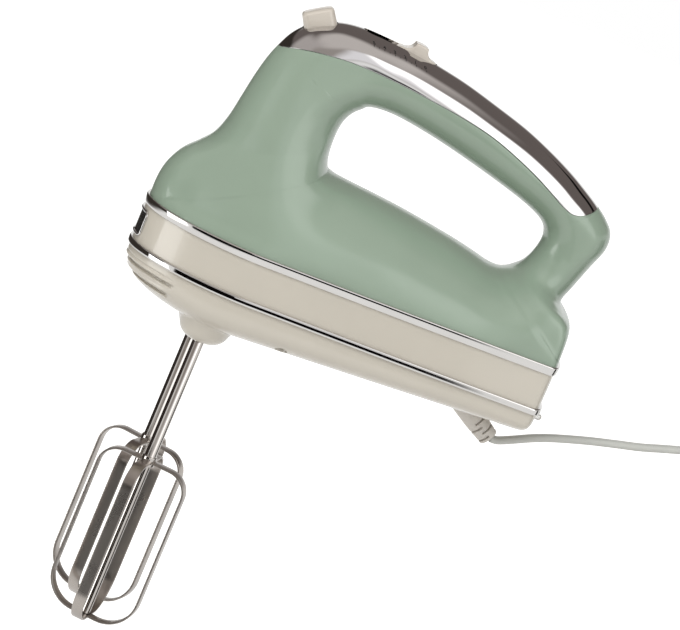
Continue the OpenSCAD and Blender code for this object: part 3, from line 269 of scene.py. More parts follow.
def smooth_path(points, step):
    """The points joined by a Catmull-Rom curve, sampled evenly about step apart."""
    p = np.vstack([2 * points[0] - points[1], points, 2 * points[-1] - points[-2]])
    t = np.linspace(0, len(points) - 1, 40 * len(points), endpoint=False)
    i = t.astype(int)
    fine = spline(*(p[i + k] for k in range(4)), (t - i)[:, None])
    fine = np.vstack([fine, points[-1]])
    length = run_along(fine)[-1]
    return at_runs(fine, np.linspace(0, length, max(2, int(round(length / step)) + 1)))


# ---- body surface ----
def side_w(x):
    """Half width of the body at the waist, which falls with the square of the distance towards the heel."""
    return BODY_HALF_W - BODY_TAPER * (np.maximum(0, x + 20) / (HEEL_X + 20)) ** 2


def rib_at(u):
    """Rib number u, also between the listed ones, on a closed Catmull-Rom curve.

    At the two corners of the outline the columns that describe it are run straight on instead, so that they stay
    corners."""
    n = len(RIBS)
    u = np.asarray(u, float) % n
    i = np.floor(u).astype(int)
    t = (u - i)[..., None]
    a, b, c, d = (RIBS[(i + k) % n] for k in (-1, 0, 1, 2))
    corner = np.zeros(n, bool)
    corner[[0, HEEL_RIB]] = True
    rib = spline(a, b, c, d, t)
    before = np.where(corner[i % n][..., None], 2 * b - c, a)
    after = np.where(corner[(i + 1) % n][..., None], 2 * c - b, d)
    outline = [2, 3, 5, 7, 9]
    rib[..., outline] = spline(before, b, c, after, t)[..., outline]
    rib[..., 8:] = np.clip(rib[..., 8:], 0, 1)
    return rib


# Nose and heel in the side view, as height and x up the outline, and the edge of the opening, as x and height.
FRONT_LINE = rib_at(np.arange(8 * 15 + 1) / 8)[:, [3, 2]]
REAR_LINE = rib_at(np.arange(8 * HEEL_RIB, 8 * 31 - 1, -1) / 8 - 1e-9)[:, [3, 2]]
OPENING = rib_at(np.arange(4 * len(RIBS) + 1) / 4)[:, :2]


def from_opening(x, z):
    """Distance in the side view from the edge of the handle opening."""
    a, ab = OPENING[:-1], np.diff(OPENING, axis=0)
    p = np.stack([x, z], -1)[..., None, :] - a
    k = np.clip((p * ab).sum(-1) / (ab * ab).sum(-1), 0, 1)
    return np.linalg.norm(p - k[..., None] * ab, axis=-1).min(-1)


def plain_skin(u, v):
    """Side-view place and half width at share v of rib u, straight from the table.

    The half width is the rib's own, times the rounding at the opening, times the rounding outside. That last one is
    level from the lines of nose and heel, across the rib from the outline, or a product of powers of the two."""
    u, v = np.broadcast_arrays(np.asarray(u, float), np.asarray(v, float))
    x0, z0, x1, z1, w0, w1, round0, round1, share, waist = np.moveaxis(rib_at(u), -1, 0)
    x, z = mix(x0, x1, v), mix(z0, z1, v)
    # from one height to the other the rounding of the body's nose goes over to that of the arm above it
    high = smooth(-64, -36, z)
    level = edge(x - np.interp(z, *FRONT_LINE.T), mix(NOSE_LEN, 22, high), mix(NOSE_POWER, 2, high))
    level = level * np.where(x > 40, edge(np.interp(z, *REAR_LINE.T) - x, HEEL_ROUND, HEEL_POWER), 1)
    across = np.where(waist > 0, 1, edge((1 - v) * np.hypot(x1 - x0, z1 - z0), round1, 2))
    outer = np.where(share >= 1, level, np.maximum(level, 1e-9) ** share * across ** (1 - share))
    width = mix(w0, mix(w1, side_w(x), waist), v)
    return x, width * edge(from_opening(x, z), round0, 2) * outer, z


# Ribs on each side of the opening's low front corner between which the blend below acts.
BLEND_RIBS = 9


def corner_blend():
    """What the half width gains ahead of the opening's low front corner, where the ribs close up.

    A plane is fitted to the half widths around each point, each weighed by its share of the side view and by a
    Gaussian of its distance, and stands in for them. The gain fades out at the opening and at the waist."""
    blur = 11.0
    x, w, z = plain_skin(np.linspace(-9.5, 9.5, 77)[:, None], np.linspace(0.04, 1, 25)[None])
    area = np.abs(np.gradient(x, axis=0) * np.gradient(z, axis=1) - np.gradient(x, axis=1) * np.gradient(z, axis=0))
    u, v = np.linspace(-BLEND_RIBS, BLEND_RIBS, 181), np.linspace(0, 1, 41)
    gain = np.zeros((len(u), len(v)))
    for row, value in enumerate(u):
        here = np.stack(plain_skin(value, v), -1)
        dx, dz = x.ravel() - here[:, 0, None], z.ravel() - here[:, 2, None]
        plane = np.stack([np.ones_like(dx), dx, dz], -1)
        weight = (area.ravel() * np.exp(-(dx**2 + dz**2) / (2 * blur**2)))[..., None] * plane
        sums = np.einsum("jka,jkb->jab", weight, plane)
        fit = np.linalg.solve(sums, np.einsum("jka,k->ja", weight, w.ravel())[..., None])
        gain[row] = fit[:, 0, 0] - here[:, 1]
    return gain * (1 - smooth(4, 8.5, np.abs(u)))[:, None] * smooth(0, 0.14, v) * (1 - smooth(0.82, 1, v))


CORNER_BLEND = corner_blend()


def skin(u, t):
    """Near side of the body: u runs round the handle opening and t from the opening (0) to the outline (1).

    In the side view a point lies on the straight rib between the two edges, at a share of it that is half a cosine
    wave of t, or a quarter of one where the body is open at the waist. Its half width is the table's and the gain
    at the corner, which is looked up between its four neighbours."""
    u, t = np.broadcast_arrays(np.asarray(u, float), np.asarray(t, float))
    v = mix((1 - np.cos(np.pi * t)) / 2, 1 - np.cos(np.pi / 2 * t), rib_at(u)[..., 9])
    x, w, z = plain_skin(u, v)
    rows, cols = CORNER_BLEND.shape
    half_round = len(RIBS) / 2
    from_corner = (u + half_round) % len(RIBS) - half_round
    a = np.clip((from_corner + BLEND_RIBS) * (rows - 1) / (2 * BLEND_RIBS), 0, rows - 1.001)
    b = np.clip(v * (cols - 1), 0, cols - 1.001)
    i, j = a.astype(int), b.astype(int)
    low = mix(CORNER_BLEND[i, j], CORNER_BLEND[i, j + 1], b - j)
    high = mix(CORNER_BLEND[i + 1, j], CORNER_BLEND[i + 1, j + 1], b - j)
    return np.stack([x, -(w + mix(low, high, a - i)), z], -1)


def skin_normal(u, t):
    """Outward direction: the cross product of the skin's differences along its two parameters.

    Past an edge where the two halves meet, the difference goes on over the mirror image, so that no crease shows."""
    e = 0.012
    u, t = np.broadcast_arrays(np.asarray(u, float), np.asarray(t, float))
    du = skin(u + e, np.minimum(t, 1 - e)) - skin(u - e, np.minimum(t, 1 - e))
    ahead, behind = skin(u, np.minimum(1, t + e)), skin(u, np.maximum(0, t - e))
    closed = rib_at(u)[..., 9] <= 0
    ahead = np.where(((t + e > 1) & closed)[..., None], skin(u, np.clip(2 - t - e, 0, 1)) * FLIP, ahead)
    behind = np.where((t - e < 0)[..., None], skin(u, np.clip(e - t, 0, 1)) * FLIP, behind)
    n = np.cross(du, ahead - behind)
    on_plane = ((t >= 1) & closed) | (t <= 0)
    return unit(np.where(on_plane[..., None], n * [1, 0, 1], n))


def joint_t(u):
    """t where a rib crosses the joint with the top cover, by halving; 1 where it never does."""
    low, high = np.zeros_like(u), np.ones_like(u)
    for _ in range(26):
        mid = (low + high) / 2
        p = skin(u, mid)
        above = p[..., 2] > soft_lookup(p[..., 0], COVER_JOINT)
        low, high = np.where(above, low, mid), np.where(above, mid, high)
    return np.where((u <= COVER_FIRST) | (u >= COVER_LAST), 1.0, high)


def rolled(d, r):
    """How far a rounded edge of radius r falls away at distance d from it."""
    return r - np.sqrt(np.maximum(0, r**2 - np.clip(r - d, 0, r) ** 2))


def plan_stations(count):
    """Values of x from the nose to the heel, closer where the outline turns.

    Half of them go with the square of their number from the nose, the last 35 % go so from the heel, and the rest
    are evenly spaced along the side."""
    s = np.linspace(0, 1, count)
    nose = NOSE_X + NOSE_LEN * (s / 0.5) ** 2
    side = mix(NOSE_X + NOSE_LEN, HEEL_X - HEEL_ROUND, (s - 0.5) / 0.15)
    heel = HEEL_X - HEEL_ROUND * (np.maximum(1 - s, 0) / 0.35) ** 2
    return np.where(s < 0.5, nose, np.where(s < 0.65, side, heel))


def plan_half(x):
    """Half width of the waist's outline: the side's, times the superelliptic roundings of nose and heel."""
    return side_w(x) * edge(x - NOSE_X, NOSE_LEN, NOSE_POWER) * edge(HEEL_X - x, HEEL_ROUND, HEEL_POWER)


def plan_outline(count):
    """Outline of the waist in plan, closed, from the nose round the far side and back as its mirror image."""
    x = plan_stations(count)
    half = np.stack([x, plan_half(x)], 1)
    return np.vstack([half, half[-2:0:-1] * [1, -1]])


def plan_normals(outline):
    """Outward directions of a closed outline: the step between each point's neighbours, turned by a right angle."""
    d = np.roll(outline, -1, 0) - np.roll(outline, 1, 0)
    return unit(np.stack([-d[:, 1], d[:, 0]], 1))


# ---- meshes ----
def grid_faces(rows, cols, ring_rows=False, ring_cols=False):
    """Quads between the neighbours of a grid of points that is stored row by row."""
    i = np.arange(rows if ring_rows else rows - 1)[:, None]
    j = np.arange(cols if ring_cols else cols - 1)[None, :]
    k, m = (i + 1) % rows, (j + 1) % cols
    return np.stack([i * cols + j, k * cols + j, k * cols + m, i * cols + m], -1).reshape(-1, 4)


def new_piece(name, shells, node=None, body=None, materials=(), crease=35, merge=2e-6):
    """One object from closed shells of (points in mm, quads, material number), with doubles merged.

    A shell's signed volume is the sum of the triple products of its corners; where it is negative the shell is
    turned round, so that every face points outwards."""
    points, quads, paint, first = [], [], [], 0
    for p, q, *number in shells:
        p, q = np.asarray(p, float).reshape(-1, 3) / 1000, np.asarray(q)
        a, b, c, d = (p[q[:, k]] - p.mean(0) for k in range(4))
        volume = (np.cross(a, b) * c).sum() + (np.cross(a, c) * d).sum()
        points.append(p)
        quads.append((q[:, ::-1] if volume < 0 else q) + first)
        paint.append(np.broadcast_to(number[0] if number else 0, len(q)))
        first += len(p)
    points, quads, paint = np.vstack(points), np.vstack(quads), np.concatenate(paint)
    mesh = bpy.data.meshes.new(name)
    mesh.vertices.add(len(points))
    mesh.vertices.foreach_set("co", points.ravel())
    mesh.loops.add(quads.size)
    mesh.loops.foreach_set("vertex_index", quads.ravel())
    mesh.polygons.add(len(quads))
    mesh.polygons.foreach_set("loop_start", np.arange(len(quads)) * 4)
    mesh.polygons.foreach_set("material_index", paint)
    mesh.update(calc_edges=True)
    bm = bmesh.new()
    bm.from_mesh(mesh)
    bmesh.ops.remove_doubles(bm, verts=bm.verts, dist=merge)
    bmesh.ops.dissolve_degenerate(bm, edges=bm.edges, dist=1e-7)
    bm.to_mesh(mesh)
    bm.free()
    mesh.validate()
    mesh.polygons.foreach_set("use_smooth", np.ones(len(mesh.polygons), bool))
    mesh.set_sharp_from_angle(angle=math.radians(crease))
    piece = bpy.data.objects.new(name, mesh)
    bpy.context.scene.collection.objects.link(piece)
    for material in materials:
        mesh.materials.append(material)
    if node:
        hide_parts(*([node] if isinstance(node, str) else node))
    if body:
        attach(piece, body)
    return piece


def cut(piece, shells):
    """Takes the closed shells away from the piece with an exact Boolean, applied at once."""
    cutter = new_piece("cutter", shells)
    modifier = piece.modifiers.new("Holes", "BOOLEAN")
    modifier.operation, modifier.solver, modifier.object = "DIFFERENCE", "EXACT", cutter
    modifier.use_hole_tolerant = True
    bpy.context.view_layer.objects.active = piece
    with bpy.context.temp_override(object=piece, active_object=piece, selected_objects=[piece]):
        bpy.ops.object.modifier_apply(modifier=modifier.name)
    mesh = cutter.data
    bpy.data.objects.remove(cutter)
    bpy.data.meshes.remove(mesh)
    piece.data.set_sharp_from_angle(angle=math.radians(35))


def lathe(profile, count=64, place=lambda p: p):
    """A profile of (radius, height) turned round Z; where its ends are off the axis it closes on itself."""
    profile = np.asarray(profile, float)
    a = np.linspace(0, 2 * np.pi, count, endpoint=False)
    p = np.stack([profile[:, 0, None] * np.cos(a), profile[:, 0, None] * np.sin(a),
                  np.broadcast_to(profile[:, 1, None], (len(profile), count))], -1)
    whole = profile[0, 0] > 1e-6 or profile[-1, 0] > 1e-6
    return place(p.reshape(-1, 3)), grid_faces(len(profile), count, ring_rows=whole, ring_cols=True)


def rounded_rect(a, b, r, count=6):
    """Closed outline of an a by b rectangle whose corners are arcs of radius r."""
    k = np.linspace(0, np.pi / 2, count)
    parts = []
    for turn, (sx, sy) in enumerate(((1, 1), (-1, 1), (-1, -1), (1, -1))):
        arc = k + turn * np.pi / 2
        parts.append(np.stack([sx * (a / 2 - r) + r * np.cos(arc), sy * (b / 2 - r) + r * np.sin(arc)], 1))
    return np.vstack(parts)


def swept(path, side, profile, closed=False):
    """A closed profile of (sideways, up) carried along a path.

    Sideways is the direction given, less its part along the path, and up is square to both."""
    d = unit(np.roll(path, -1, 0) - np.roll(path, 1, 0) if closed else np.gradient(path, axis=0))
    side = np.broadcast_to(np.asarray(side, float), path.shape)
    side = unit(side - (side * d).sum(-1, keepdims=True) * d)
    up = np.cross(side, d)
    p = path[:, None] + (profile[None, :, 0, None] * side[:, None] + profile[None, :, 1, None] * up[:, None])
    rows, cols = p.shape[:2]
    q = grid_faces(rows, cols, ring_rows=closed, ring_cols=True)
    p = p.reshape(-1, 3)
    if not closed:
        for row in (0, rows - 1):
            ring = np.arange(cols) + row * cols
            q = np.vstack([q, fan(len(p), ring, row == 0)])
            p = np.vstack([p, np.tile(p[ring].mean(0), (cols, 1))])
    return p, q


def fan(first, ring, flip):
    """Quads that close a ring of points onto as many copies of its middle, which are merged later."""
    n = len(ring)
    a = np.arange(n)
    b = (a + 1) % n
    q = np.stack([ring[a], ring[b], first + b, first + a], 1)
    return q[:, ::-1] if not flip else q


def loft(sections):
    """Closed surface through equal sections, shut at both ends on the middle of the end section."""
    p = np.stack(sections)
    p = np.concatenate([np.broadcast_to(p[:1].mean(1, keepdims=True), p[:1].shape), p,
                        np.broadcast_to(p[-1:].mean(1, keepdims=True), p[-1:].shape)])
    return p.reshape(-1, 3), grid_faces(len(p), p.shape[1], ring_cols=True)


def turned(p, origin, degrees):
    """Points turned about Y by that angle, as in CAD, and moved to the origin given."""
    a = math.radians(degrees)
    x, y, z = np.moveaxis(np.asarray(p, float), -1, 0)
    return np.stack([x * math.cos(a) + z * math.sin(a), y, z * math.cos(a) - x * math.sin(a)], -1) + origin


def along_button(p):
    """From the eject button's own frame, with +Z out of the cover, to the part's."""
    return turned(p, [-81.0, 0.0, 17.6], -32)


def along_slot(p):
    """From the speed slot's own frame, with -X towards the nose and +Z out of the cover, to the part's."""
    return turned(p, [-25.5, 0.0, 19.8], 6.2)


def along_boot(p):
    """From the boot's own frame, with +Z from its mouth up into the body, to the part's."""
    return turned(np.asarray(p, float) * [-1, 1, 1], [66.2, 0.0, COVER_Z - 26.6], -58)


def stadium(l, w, count=24):
    """Closed outline that runs from x = 0 to x = -l, w wide, with half circles at its ends."""
    a = np.linspace(-np.pi / 2, np.pi / 2, count)
    front = np.stack([-w / 2 + w / 2 * np.cos(a), w / 2 * np.sin(a)], 1)
    back = np.stack([-l + w / 2 - w / 2 * np.cos(a), -w / 2 * np.sin(a)], 1)
    return np.vstack([front, back])


def disc(r, at=(0, 0), count=48):
    """Closed circle of radius r round a point."""
    a = np.linspace(0, 2 * np.pi, count, endpoint=False)
    return np.stack([np.cos(a), np.sin(a)], 1) * r + list(at)


def pillar(outline, low, high, place=lambda p: p):
    """A straight closed prism over an outline."""
    sections = [np.column_stack([outline, np.full(len(outline), z)]) for z in np.linspace(low, high, 4)]
    p, q = loft(sections)
    return place(p), q


def shell_between(outer, inner, ring, shut):
    """Quads of two grids of points and the rims that join their first and last columns.

    shut says which rows meet their mirror image, so that their ends are joined by merging and need no rim."""
    rows, cols = outer.shape[:2]
    n = rows * cols
    a = grid_faces(rows, cols, ring_rows=ring)
    b = a[:, ::-1] + n
    i = np.arange(rows if ring else rows - 1)
    k = (i + 1) % rows
    keep = ~(shut[i] & shut[k])
    i, k = i[keep], k[keep]
    first = np.stack([i * cols, i * cols + n, k * cols + n, k * cols], 1)
    last = np.stack([i * cols, k * cols, k * cols + n, i * cols + n], 1) + cols - 1
    return np.concatenate([outer.reshape(-1, 3), inner.reshape(-1, 3)]), np.vstack([a, b, first, last])


# ---- materials ----
def linear(code):
    """An sRGB hex colour as linear RGBA."""
    v = np.array([int(code[k:k + 2], 16) for k in (1, 3, 5)]) / 255
    v = np.where(v <= 0.04045, v / 12.92, ((v + 0.055) / 1.055) ** 2.4)
    return (*v, 1.0)


def shades(name, share):
    """A colour from the settings, and the one that it drifts to: itself times share, as linear light."""
    colour = tuple(getattr(bpy.context.scene.mixer_colours, name))
    return colour, (*(share * part for part in colour[:3]), 1.0)


def add(tree, kind, at=(0, 0), links=None, **settings):
    """Adds a node with its settings; values for sockets and links are given by socket name or number."""
    n = tree.nodes.new(kind)
    n.location = at
    for key, value in settings.items():
        if key == "inputs":
            for socket, v in value.items():
                n.inputs[socket].default_value = v
        else:
            setattr(n, key, value)
    for socket, source in (links or {}).items():
        tree.links.new(source, n.inputs[socket])
    return n


def new_material(name, **sockets):
    """A material with one principled shader, whose constant values are set on its own sockets.

    Returned with its tree, its shader and the place on the piece, as Object coordinates."""
    material = bpy.data.materials.get(name) or bpy.data.materials.new(name)
    material.use_nodes = True
    tree = material.node_tree
    tree.nodes.clear()
    shader = add(tree, "ShaderNodeBsdfPrincipled", (0, 0), inputs=sockets)
    add(tree, "ShaderNodeOutputMaterial", (300, 0), links={"Surface": shader.outputs[0]})
    return material, tree, shader, add(tree, "ShaderNodeTexCoord", (-1200, 0)).outputs["Object"]


def shade_of(tree, shader, where, base, other, size_mm):
    """Colour that wanders between two close shades on a noise whose patches are size_mm wide."""
    noise = add(tree, "ShaderNodeTexNoise", (-800, 200), {"Vector": where},
                inputs={"Scale": 1000 / size_mm, "Detail": 3})
    ramp = add(tree, "ShaderNodeValToRGB", (-500, 200), {"Fac": noise.outputs["Fac"]})
    for stop, position, shade in zip(ramp.color_ramp.elements, (0.35, 0.65), (base, other)):
        stop.position, stop.color = position, linear(shade) if isinstance(shade, str) else shade
    tree.links.new(ramp.outputs["Color"], shader.inputs["Base Color"])


def gloss_of(tree, shader, where, low, high, size_mm):
    """Roughness between low and high on a noise whose patches are size_mm wide."""
    noise = add(tree, "ShaderNodeTexNoise", (-800, -100), {"Vector": where},
                inputs={"Scale": 1000 / size_mm, "Detail": 4.0})
    spread = add(tree, "ShaderNodeMapRange", (-500, -100), {"Value": noise.outputs["Fac"]},
                 inputs={"From Min": 0.3, "From Max": 0.7, "To Min": low, "To Max": high})
    tree.links.new(spread.outputs["Result"], shader.inputs["Roughness"])


def grain_of(tree, shader, where, size_mm, height_mm, strength=0.5):
    """Fine unevenness of the surface: a noise size_mm across and height_mm deep."""
    noise = add(tree, "ShaderNodeTexNoise", (-800, -400), {"Vector": where},
                inputs={"Scale": 1000 / size_mm, "Detail": 2.0})
    bump = add(tree, "ShaderNodeBump", (-300, -400), {"Height": noise.outputs["Fac"]},
               inputs={"Strength": strength, "Distance": height_mm / 1000})
    tree.links.new(bump.outputs["Normal"], shader.inputs["Normal"])


def moulded(name, base, other, rough, coat=0.0, coat_rough=0.05, grain=0.02, patch=18, ior=1.5, wave=6.0):
    """Moulded plastic: a colour that drifts very slightly, and the faint waviness of a moulded wall.

    The roughness stays within a tenth of the one given; patch, wave and grain are in millimetres."""
    m, tree, shader, where = new_material(name, **{"IOR": ior, "Coat Weight": coat, "Coat Roughness": coat_rough})
    shade_of(tree, shader, where, base, other, patch)
    gloss_of(tree, shader, where, rough * 0.9, rough * 1.1, 8.0)
    grain_of(tree, shader, where, wave, grain)
    return m


def plated(name, base, other, low, high, patch=20, grain=0.004):
    """Bright plating or polished metal: mirror-like, with the faint haze of wiping between two roughnesses."""
    m, tree, shader, where = new_material(name, **{"Metallic": 1.0})
    shade_of(tree, shader, where, base, other, patch)
    gloss_of(tree, shader, where, low, high, 5.0)
    grain_of(tree, shader, where, 9.0, grain)
    return m


# ---- settings that a user would change ----
def colour_prop(name, description, code):
    """A colour that a user may change, given as an sRGB hex value."""
    return FloatVectorProperty(name=name, description=description, subtype="COLOR", size=4, min=0, max=1,
                               default=linear(code))


def length_prop(name, description, default, low, high):
    """A length that a user may change, in metres."""
    return FloatProperty(name=name, description=description, default=default, min=low, max=high, unit="LENGTH",
                         subtype="DISTANCE")


class MixerBody(bpy.types.PropertyGroup):
    """Sizes of the details on the covers and trims"""

    seam: length_prop("Seam radius", "Rounding of the edges along the joint of the top cover", 0.00022, 0, 0.001)
    trim_edge: length_prop("Trim edge", "Rounding of the trims' edges", 0.0007, 0.0001, 0.0015)
    groove: length_prop("Groove depth", "Depth of the grooves round the nose of the bottom cover", 0.0018, 0, 0.0022)


class MixerLead(bpy.types.PropertyGroup):
    """Sizes of the lead and its coil"""

    width: length_prop("Width", "Width of the flat lead", 0.0054, 0.004, 0.007)
    thickness: length_prop("Thickness", "Thickness of the flat lead", 0.0033, 0.0025, 0.004)
    layers: IntProperty(name="Layers", description="Layers of turns in the coil", default=3, min=2, max=4)


class MixerColours(bpy.types.PropertyGroup):
    """Colours of the parts that are seen"""

    housing: colour_prop("Housing", "Green of the housing and handle", "#8A9B8A")
    cream: colour_prop("Cream", "Cream of the band and the bottom cover", "#C4BEB2")
    controls: colour_prop("Controls", "Cream of the button and the slider", "#C3BBB0")
    chrome: colour_prop("Chrome", "Tint of the chromed top cover", "#D9D7D6")
    lead: colour_prop("Lead", "Grey of the lead", "#BCBDB8")
    plug: colour_prop("Plug", "Grey of the plug", "#B1B1AB")
    boot: colour_prop("Boot", "Grey of the lead's boot", "#CCC7C0")


class MixerStage(bpy.types.PropertyGroup):
    """Camera and lamps"""

    azimuth: FloatProperty(name="Azimuth", description="Camera's turn round the mixer", default=math.radians(-9.35),
                           subtype="ANGLE")
    elevation: FloatProperty(name="Elevation", description="Camera's height above the horizon",
                             default=math.radians(12.94), subtype="ANGLE")
    roll: FloatProperty(name="Roll", description="Camera's turn about its own axis", default=math.radians(23.12),
                        subtype="ANGLE")
    distance: FloatProperty(name="Distance", description="Camera's distance from its aim", default=1.701, min=0.5,
                            unit="LENGTH", subtype="DISTANCE")
    lens: FloatProperty(name="Lens", description="Focal length of the lens", default=195.8, min=20, unit="CAMERA")
    key: FloatProperty(name="Key lamp", description="Power of the main soft lamp in watts", default=11.0, min=0)


# ---- stage ----
# Cards of the studio, laid over each other in this order: azimuth and elevation of the middle in degrees, half sizes
# as tangents, softness of the edge, colour and level. Azimuth 0 faces the side of the handle with the numbers, 90 is
# behind the heel and -90 ahead of the nose.
CARDS = (
    ("dark ceiling", 0, 90, 3.2, 3.2, 1.2, "#6F6764", 1.0),
    ("back wall", 140, -20, 0.80, 0.45, 0.06, "#FFFFFF", 1.0),
    ("nose side", -118, 0, 1.30, 0.40, 0.06, "#3A3531", 1.0),
    ("ceiling", -20, 66, 0.57, 0.60, 0.22, "#D2CCC8", 1.0),
    ("nose wall", -72, 36, 0.55, 0.34, 0.22, "#BEB8B5", 1.0),
    ("front wall", -8, 24, 0.62, 0.34, 0.20, "#B4ADA8", 0.85),
    ("flag", -31, -9, 0.42, 0.265, 0.015, "#0A0908", 1.0),
    ("low flag", -2, -14, 0.30, 0.13, 0.02, "#0A0908", 1.0),
    ("strip", -73, -12, 0.225, 0.20, 0.012, "#FFFFFF", 3.4),
    ("flank side", 13, 25, 0.24, 0.34, 0.10, "#F4F3F6", 1.05),
    ("flank", 34, 25, 0.31, 0.40, 0.09, "#FFFFFF", 2.1),
    ("heel card", 96, -12, 0.25, 0.30, 0.03, "#24211F", 1.0),
    ("heel flag", 121, 38, 0.22, 0.05, 0.02, "#070707", 1.0),
)
WHITE = (1, 1, 1, 1)


def direction(azimuth, elevation):
    """Unit vector at that azimuth, from -Y towards +X, and that elevation, both in radians."""
    return Vector((math.sin(azimuth) * math.cos(elevation), -math.cos(azimuth) * math.cos(elevation),
                   math.sin(elevation)))


def card(tree, way, colour, y, azimuth, elevation, half_w, half_h, soft, code, level):
    """Colour of the studio with one more card laid over it.

    A direction is on the card where its sideways and upward parts, divided by its forward part, are both less than
    the half sizes; a smooth step takes each from 1 to 0 over twice the softness."""
    a, e = math.radians(azimuth), math.radians(elevation)
    ahead, right = direction(a, e), Vector((math.cos(a), math.sin(a), 0))
    forward, *across = (add(tree, "ShaderNodeVectorMath", (-1800, y), {0: way}, operation="DOT_PRODUCT",
                            inputs={1: axis}).outputs["Value"] for axis in (ahead, right, ahead.cross(right)))
    on = add(tree, "ShaderNodeMath", (-1200, y - 200), {0: forward}, operation="GREATER_THAN", inputs={1: 0.0})
    for part, half in zip(across, (half_w, half_h)):
        ratio = add(tree, "ShaderNodeMath", (-1600, y), {0: part, 1: forward}, operation="DIVIDE")
        size = add(tree, "ShaderNodeMath", (-1400, y), {0: ratio.outputs[0]}, operation="ABSOLUTE")
        step = add(tree, "ShaderNodeMapRange", (-1200, y), {"Value": size.outputs[0]},
                   interpolation_type="SMOOTHSTEP",
                   inputs={"From Min": half + soft, "From Max": half - soft, "To Min": 0.0, "To Max": 1.0})
        on = add(tree, "ShaderNodeMath", (-1000, y), {0: on.outputs[0], 1: step.outputs[0]}, operation="MULTIPLY")
    return add(tree, "ShaderNodeMix", (-700, y), {0: on.outputs[0], 6: colour}, data_type="RGBA",
               inputs={7: [c * level for c in linear(code)[:3]] + [1.0]}).outputs[2]


def studio_world():
    """The world: white to the camera, to gloss and through clear parts, and a plain soft room to matt surfaces.

    Gloss sees the cards of CARDS laid over that white. The room's strength rises evenly with the cosine of the
    angle to a direction above and ahead of the nose."""
    world = bpy.data.worlds.new("studio")
    bpy.context.scene.world = world
    world.use_nodes = True
    tree = world.node_tree
    tree.nodes.clear()
    way = add(tree, "ShaderNodeTexCoord", (-2400, 0)).outputs["Generated"]
    colour = add(tree, "ShaderNodeRGB", (-2000, 200)).outputs[0]
    colour.default_value = WHITE
    for row, (_, *place_and_look) in enumerate(CARDS):
        colour = card(tree, way, colour, -700 * (row + 1), *place_and_look)
    ray = add(tree, "ShaderNodeLightPath", (-900, 700)).outputs
    sheet = add(tree, "ShaderNodeMix", (-500, 200), {0: ray["Is Glossy Ray"], 7: colour}, data_type="RGBA",
                inputs={6: WHITE})
    background = add(tree, "ShaderNodeBackground", (-300, 200), {"Color": sheet.outputs[2]}, inputs={"Strength": 1.0})
    slope = add(tree, "ShaderNodeVectorMath", (-700, -100), {0: way}, operation="DOT_PRODUCT",
                inputs={1: (-0.62, -0.33, 0.71)})
    strength = add(tree, "ShaderNodeMapRange", (-500, -100), {"Value": slope.outputs["Value"]},
                   inputs={"From Min": -1.0, "From Max": 1.0, "To Min": 0.30, "To Max": 0.74})
    room = add(tree, "ShaderNodeBackground", (-300, -100), {"Strength": strength.outputs[0]},
               inputs={"Color": linear("#FFFEFC")})
    shown = ray["Is Camera Ray"]
    for x, kind in ((-700, "Is Glossy Ray"), (-500, "Is Transmission Ray")):
        shown = add(tree, "ShaderNodeMath", (x, 700), {0: shown, 1: ray[kind]}, operation="MAXIMUM").outputs[0]
    seen = add(tree, "ShaderNodeMixShader", (0, 0), {0: shown, 1: room.outputs[0], 2: background.outputs[0]})
    add(tree, "ShaderNodeOutputWorld", (300, 0), {"Surface": seen.outputs[0]})


def soft_lamp(name, aim, azimuth, elevation, distance, width, height, power):
    """Rectangular lamp that faces its aim from that direction and distance, and that gloss doesn't show."""
    way = direction(math.radians(azimuth), math.radians(elevation))
    data = bpy.data.lights.new(name, "AREA")
    data.shape, data.size, data.size_y, data.energy = "RECTANGLE", width, height, power
    lamp = bpy.data.objects.new(name, data)
    lamp.location = aim + way * distance
    lamp.rotation_mode = "QUATERNION"
    lamp.rotation_quaternion = (-way).to_track_quat("-Z", "Y")
    lamp.visible_glossy = False
    bpy.context.scene.collection.objects.link(lamp)


def pale_floor():
    """A flat square 60 mm below the lowest point.

    Its board is a little brighter to the camera, so that it is white and keeps the mixer's shadow, and clear to
    gloss, which sees the studio through it."""
    half, low = 3, float(min(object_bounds()[0].z, -0.277)) - 0.06
    mesh = bpy.data.meshes.new("floor")
    mesh.from_pydata([(x * half, y * half, low) for x, y in ((-1, -1), (1, -1), (1, 1), (-1, 1))], [], [(0, 1, 2, 3)])
    floor = bpy.data.objects.new("floor", mesh)
    bpy.context.scene.collection.objects.link(floor)
    floor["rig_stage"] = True
    # Matt white paint on board: even and without gloss.
    material, tree, shader, where = new_material("painted_board", **{"Roughness": 0.9, "IOR": 1.3})
    shade_of(tree, shader, where, "#F4F3F1", "#F8F7F5", 60)
    ray = add(tree, "ShaderNodeLightPath", (0, 400)).outputs
    glow = add(tree, "ShaderNodeEmission", (0, -300), inputs={"Color": WHITE, "Strength": 0.6})
    lit = add(tree, "ShaderNodeAddShader", (250, -100), {0: shader.outputs[0], 1: glow.outputs[0]})
    clear = add(tree, "ShaderNodeBsdfTransparent", (250, 200))
    seen = add(tree, "ShaderNodeMixShader", (500, 0),
               {0: ray["Is Camera Ray"], 1: shader.outputs[0], 2: lit.outputs[0]})
    gloss = add(tree, "ShaderNodeMixShader", (700, 0),
                {0: ray["Is Glossy Ray"], 1: seen.outputs[0], 2: clear.outputs[0]})
    tree.links.new(gloss.outputs[0], tree.nodes["Material Output"].inputs["Surface"])
    mesh.materials.append(material)


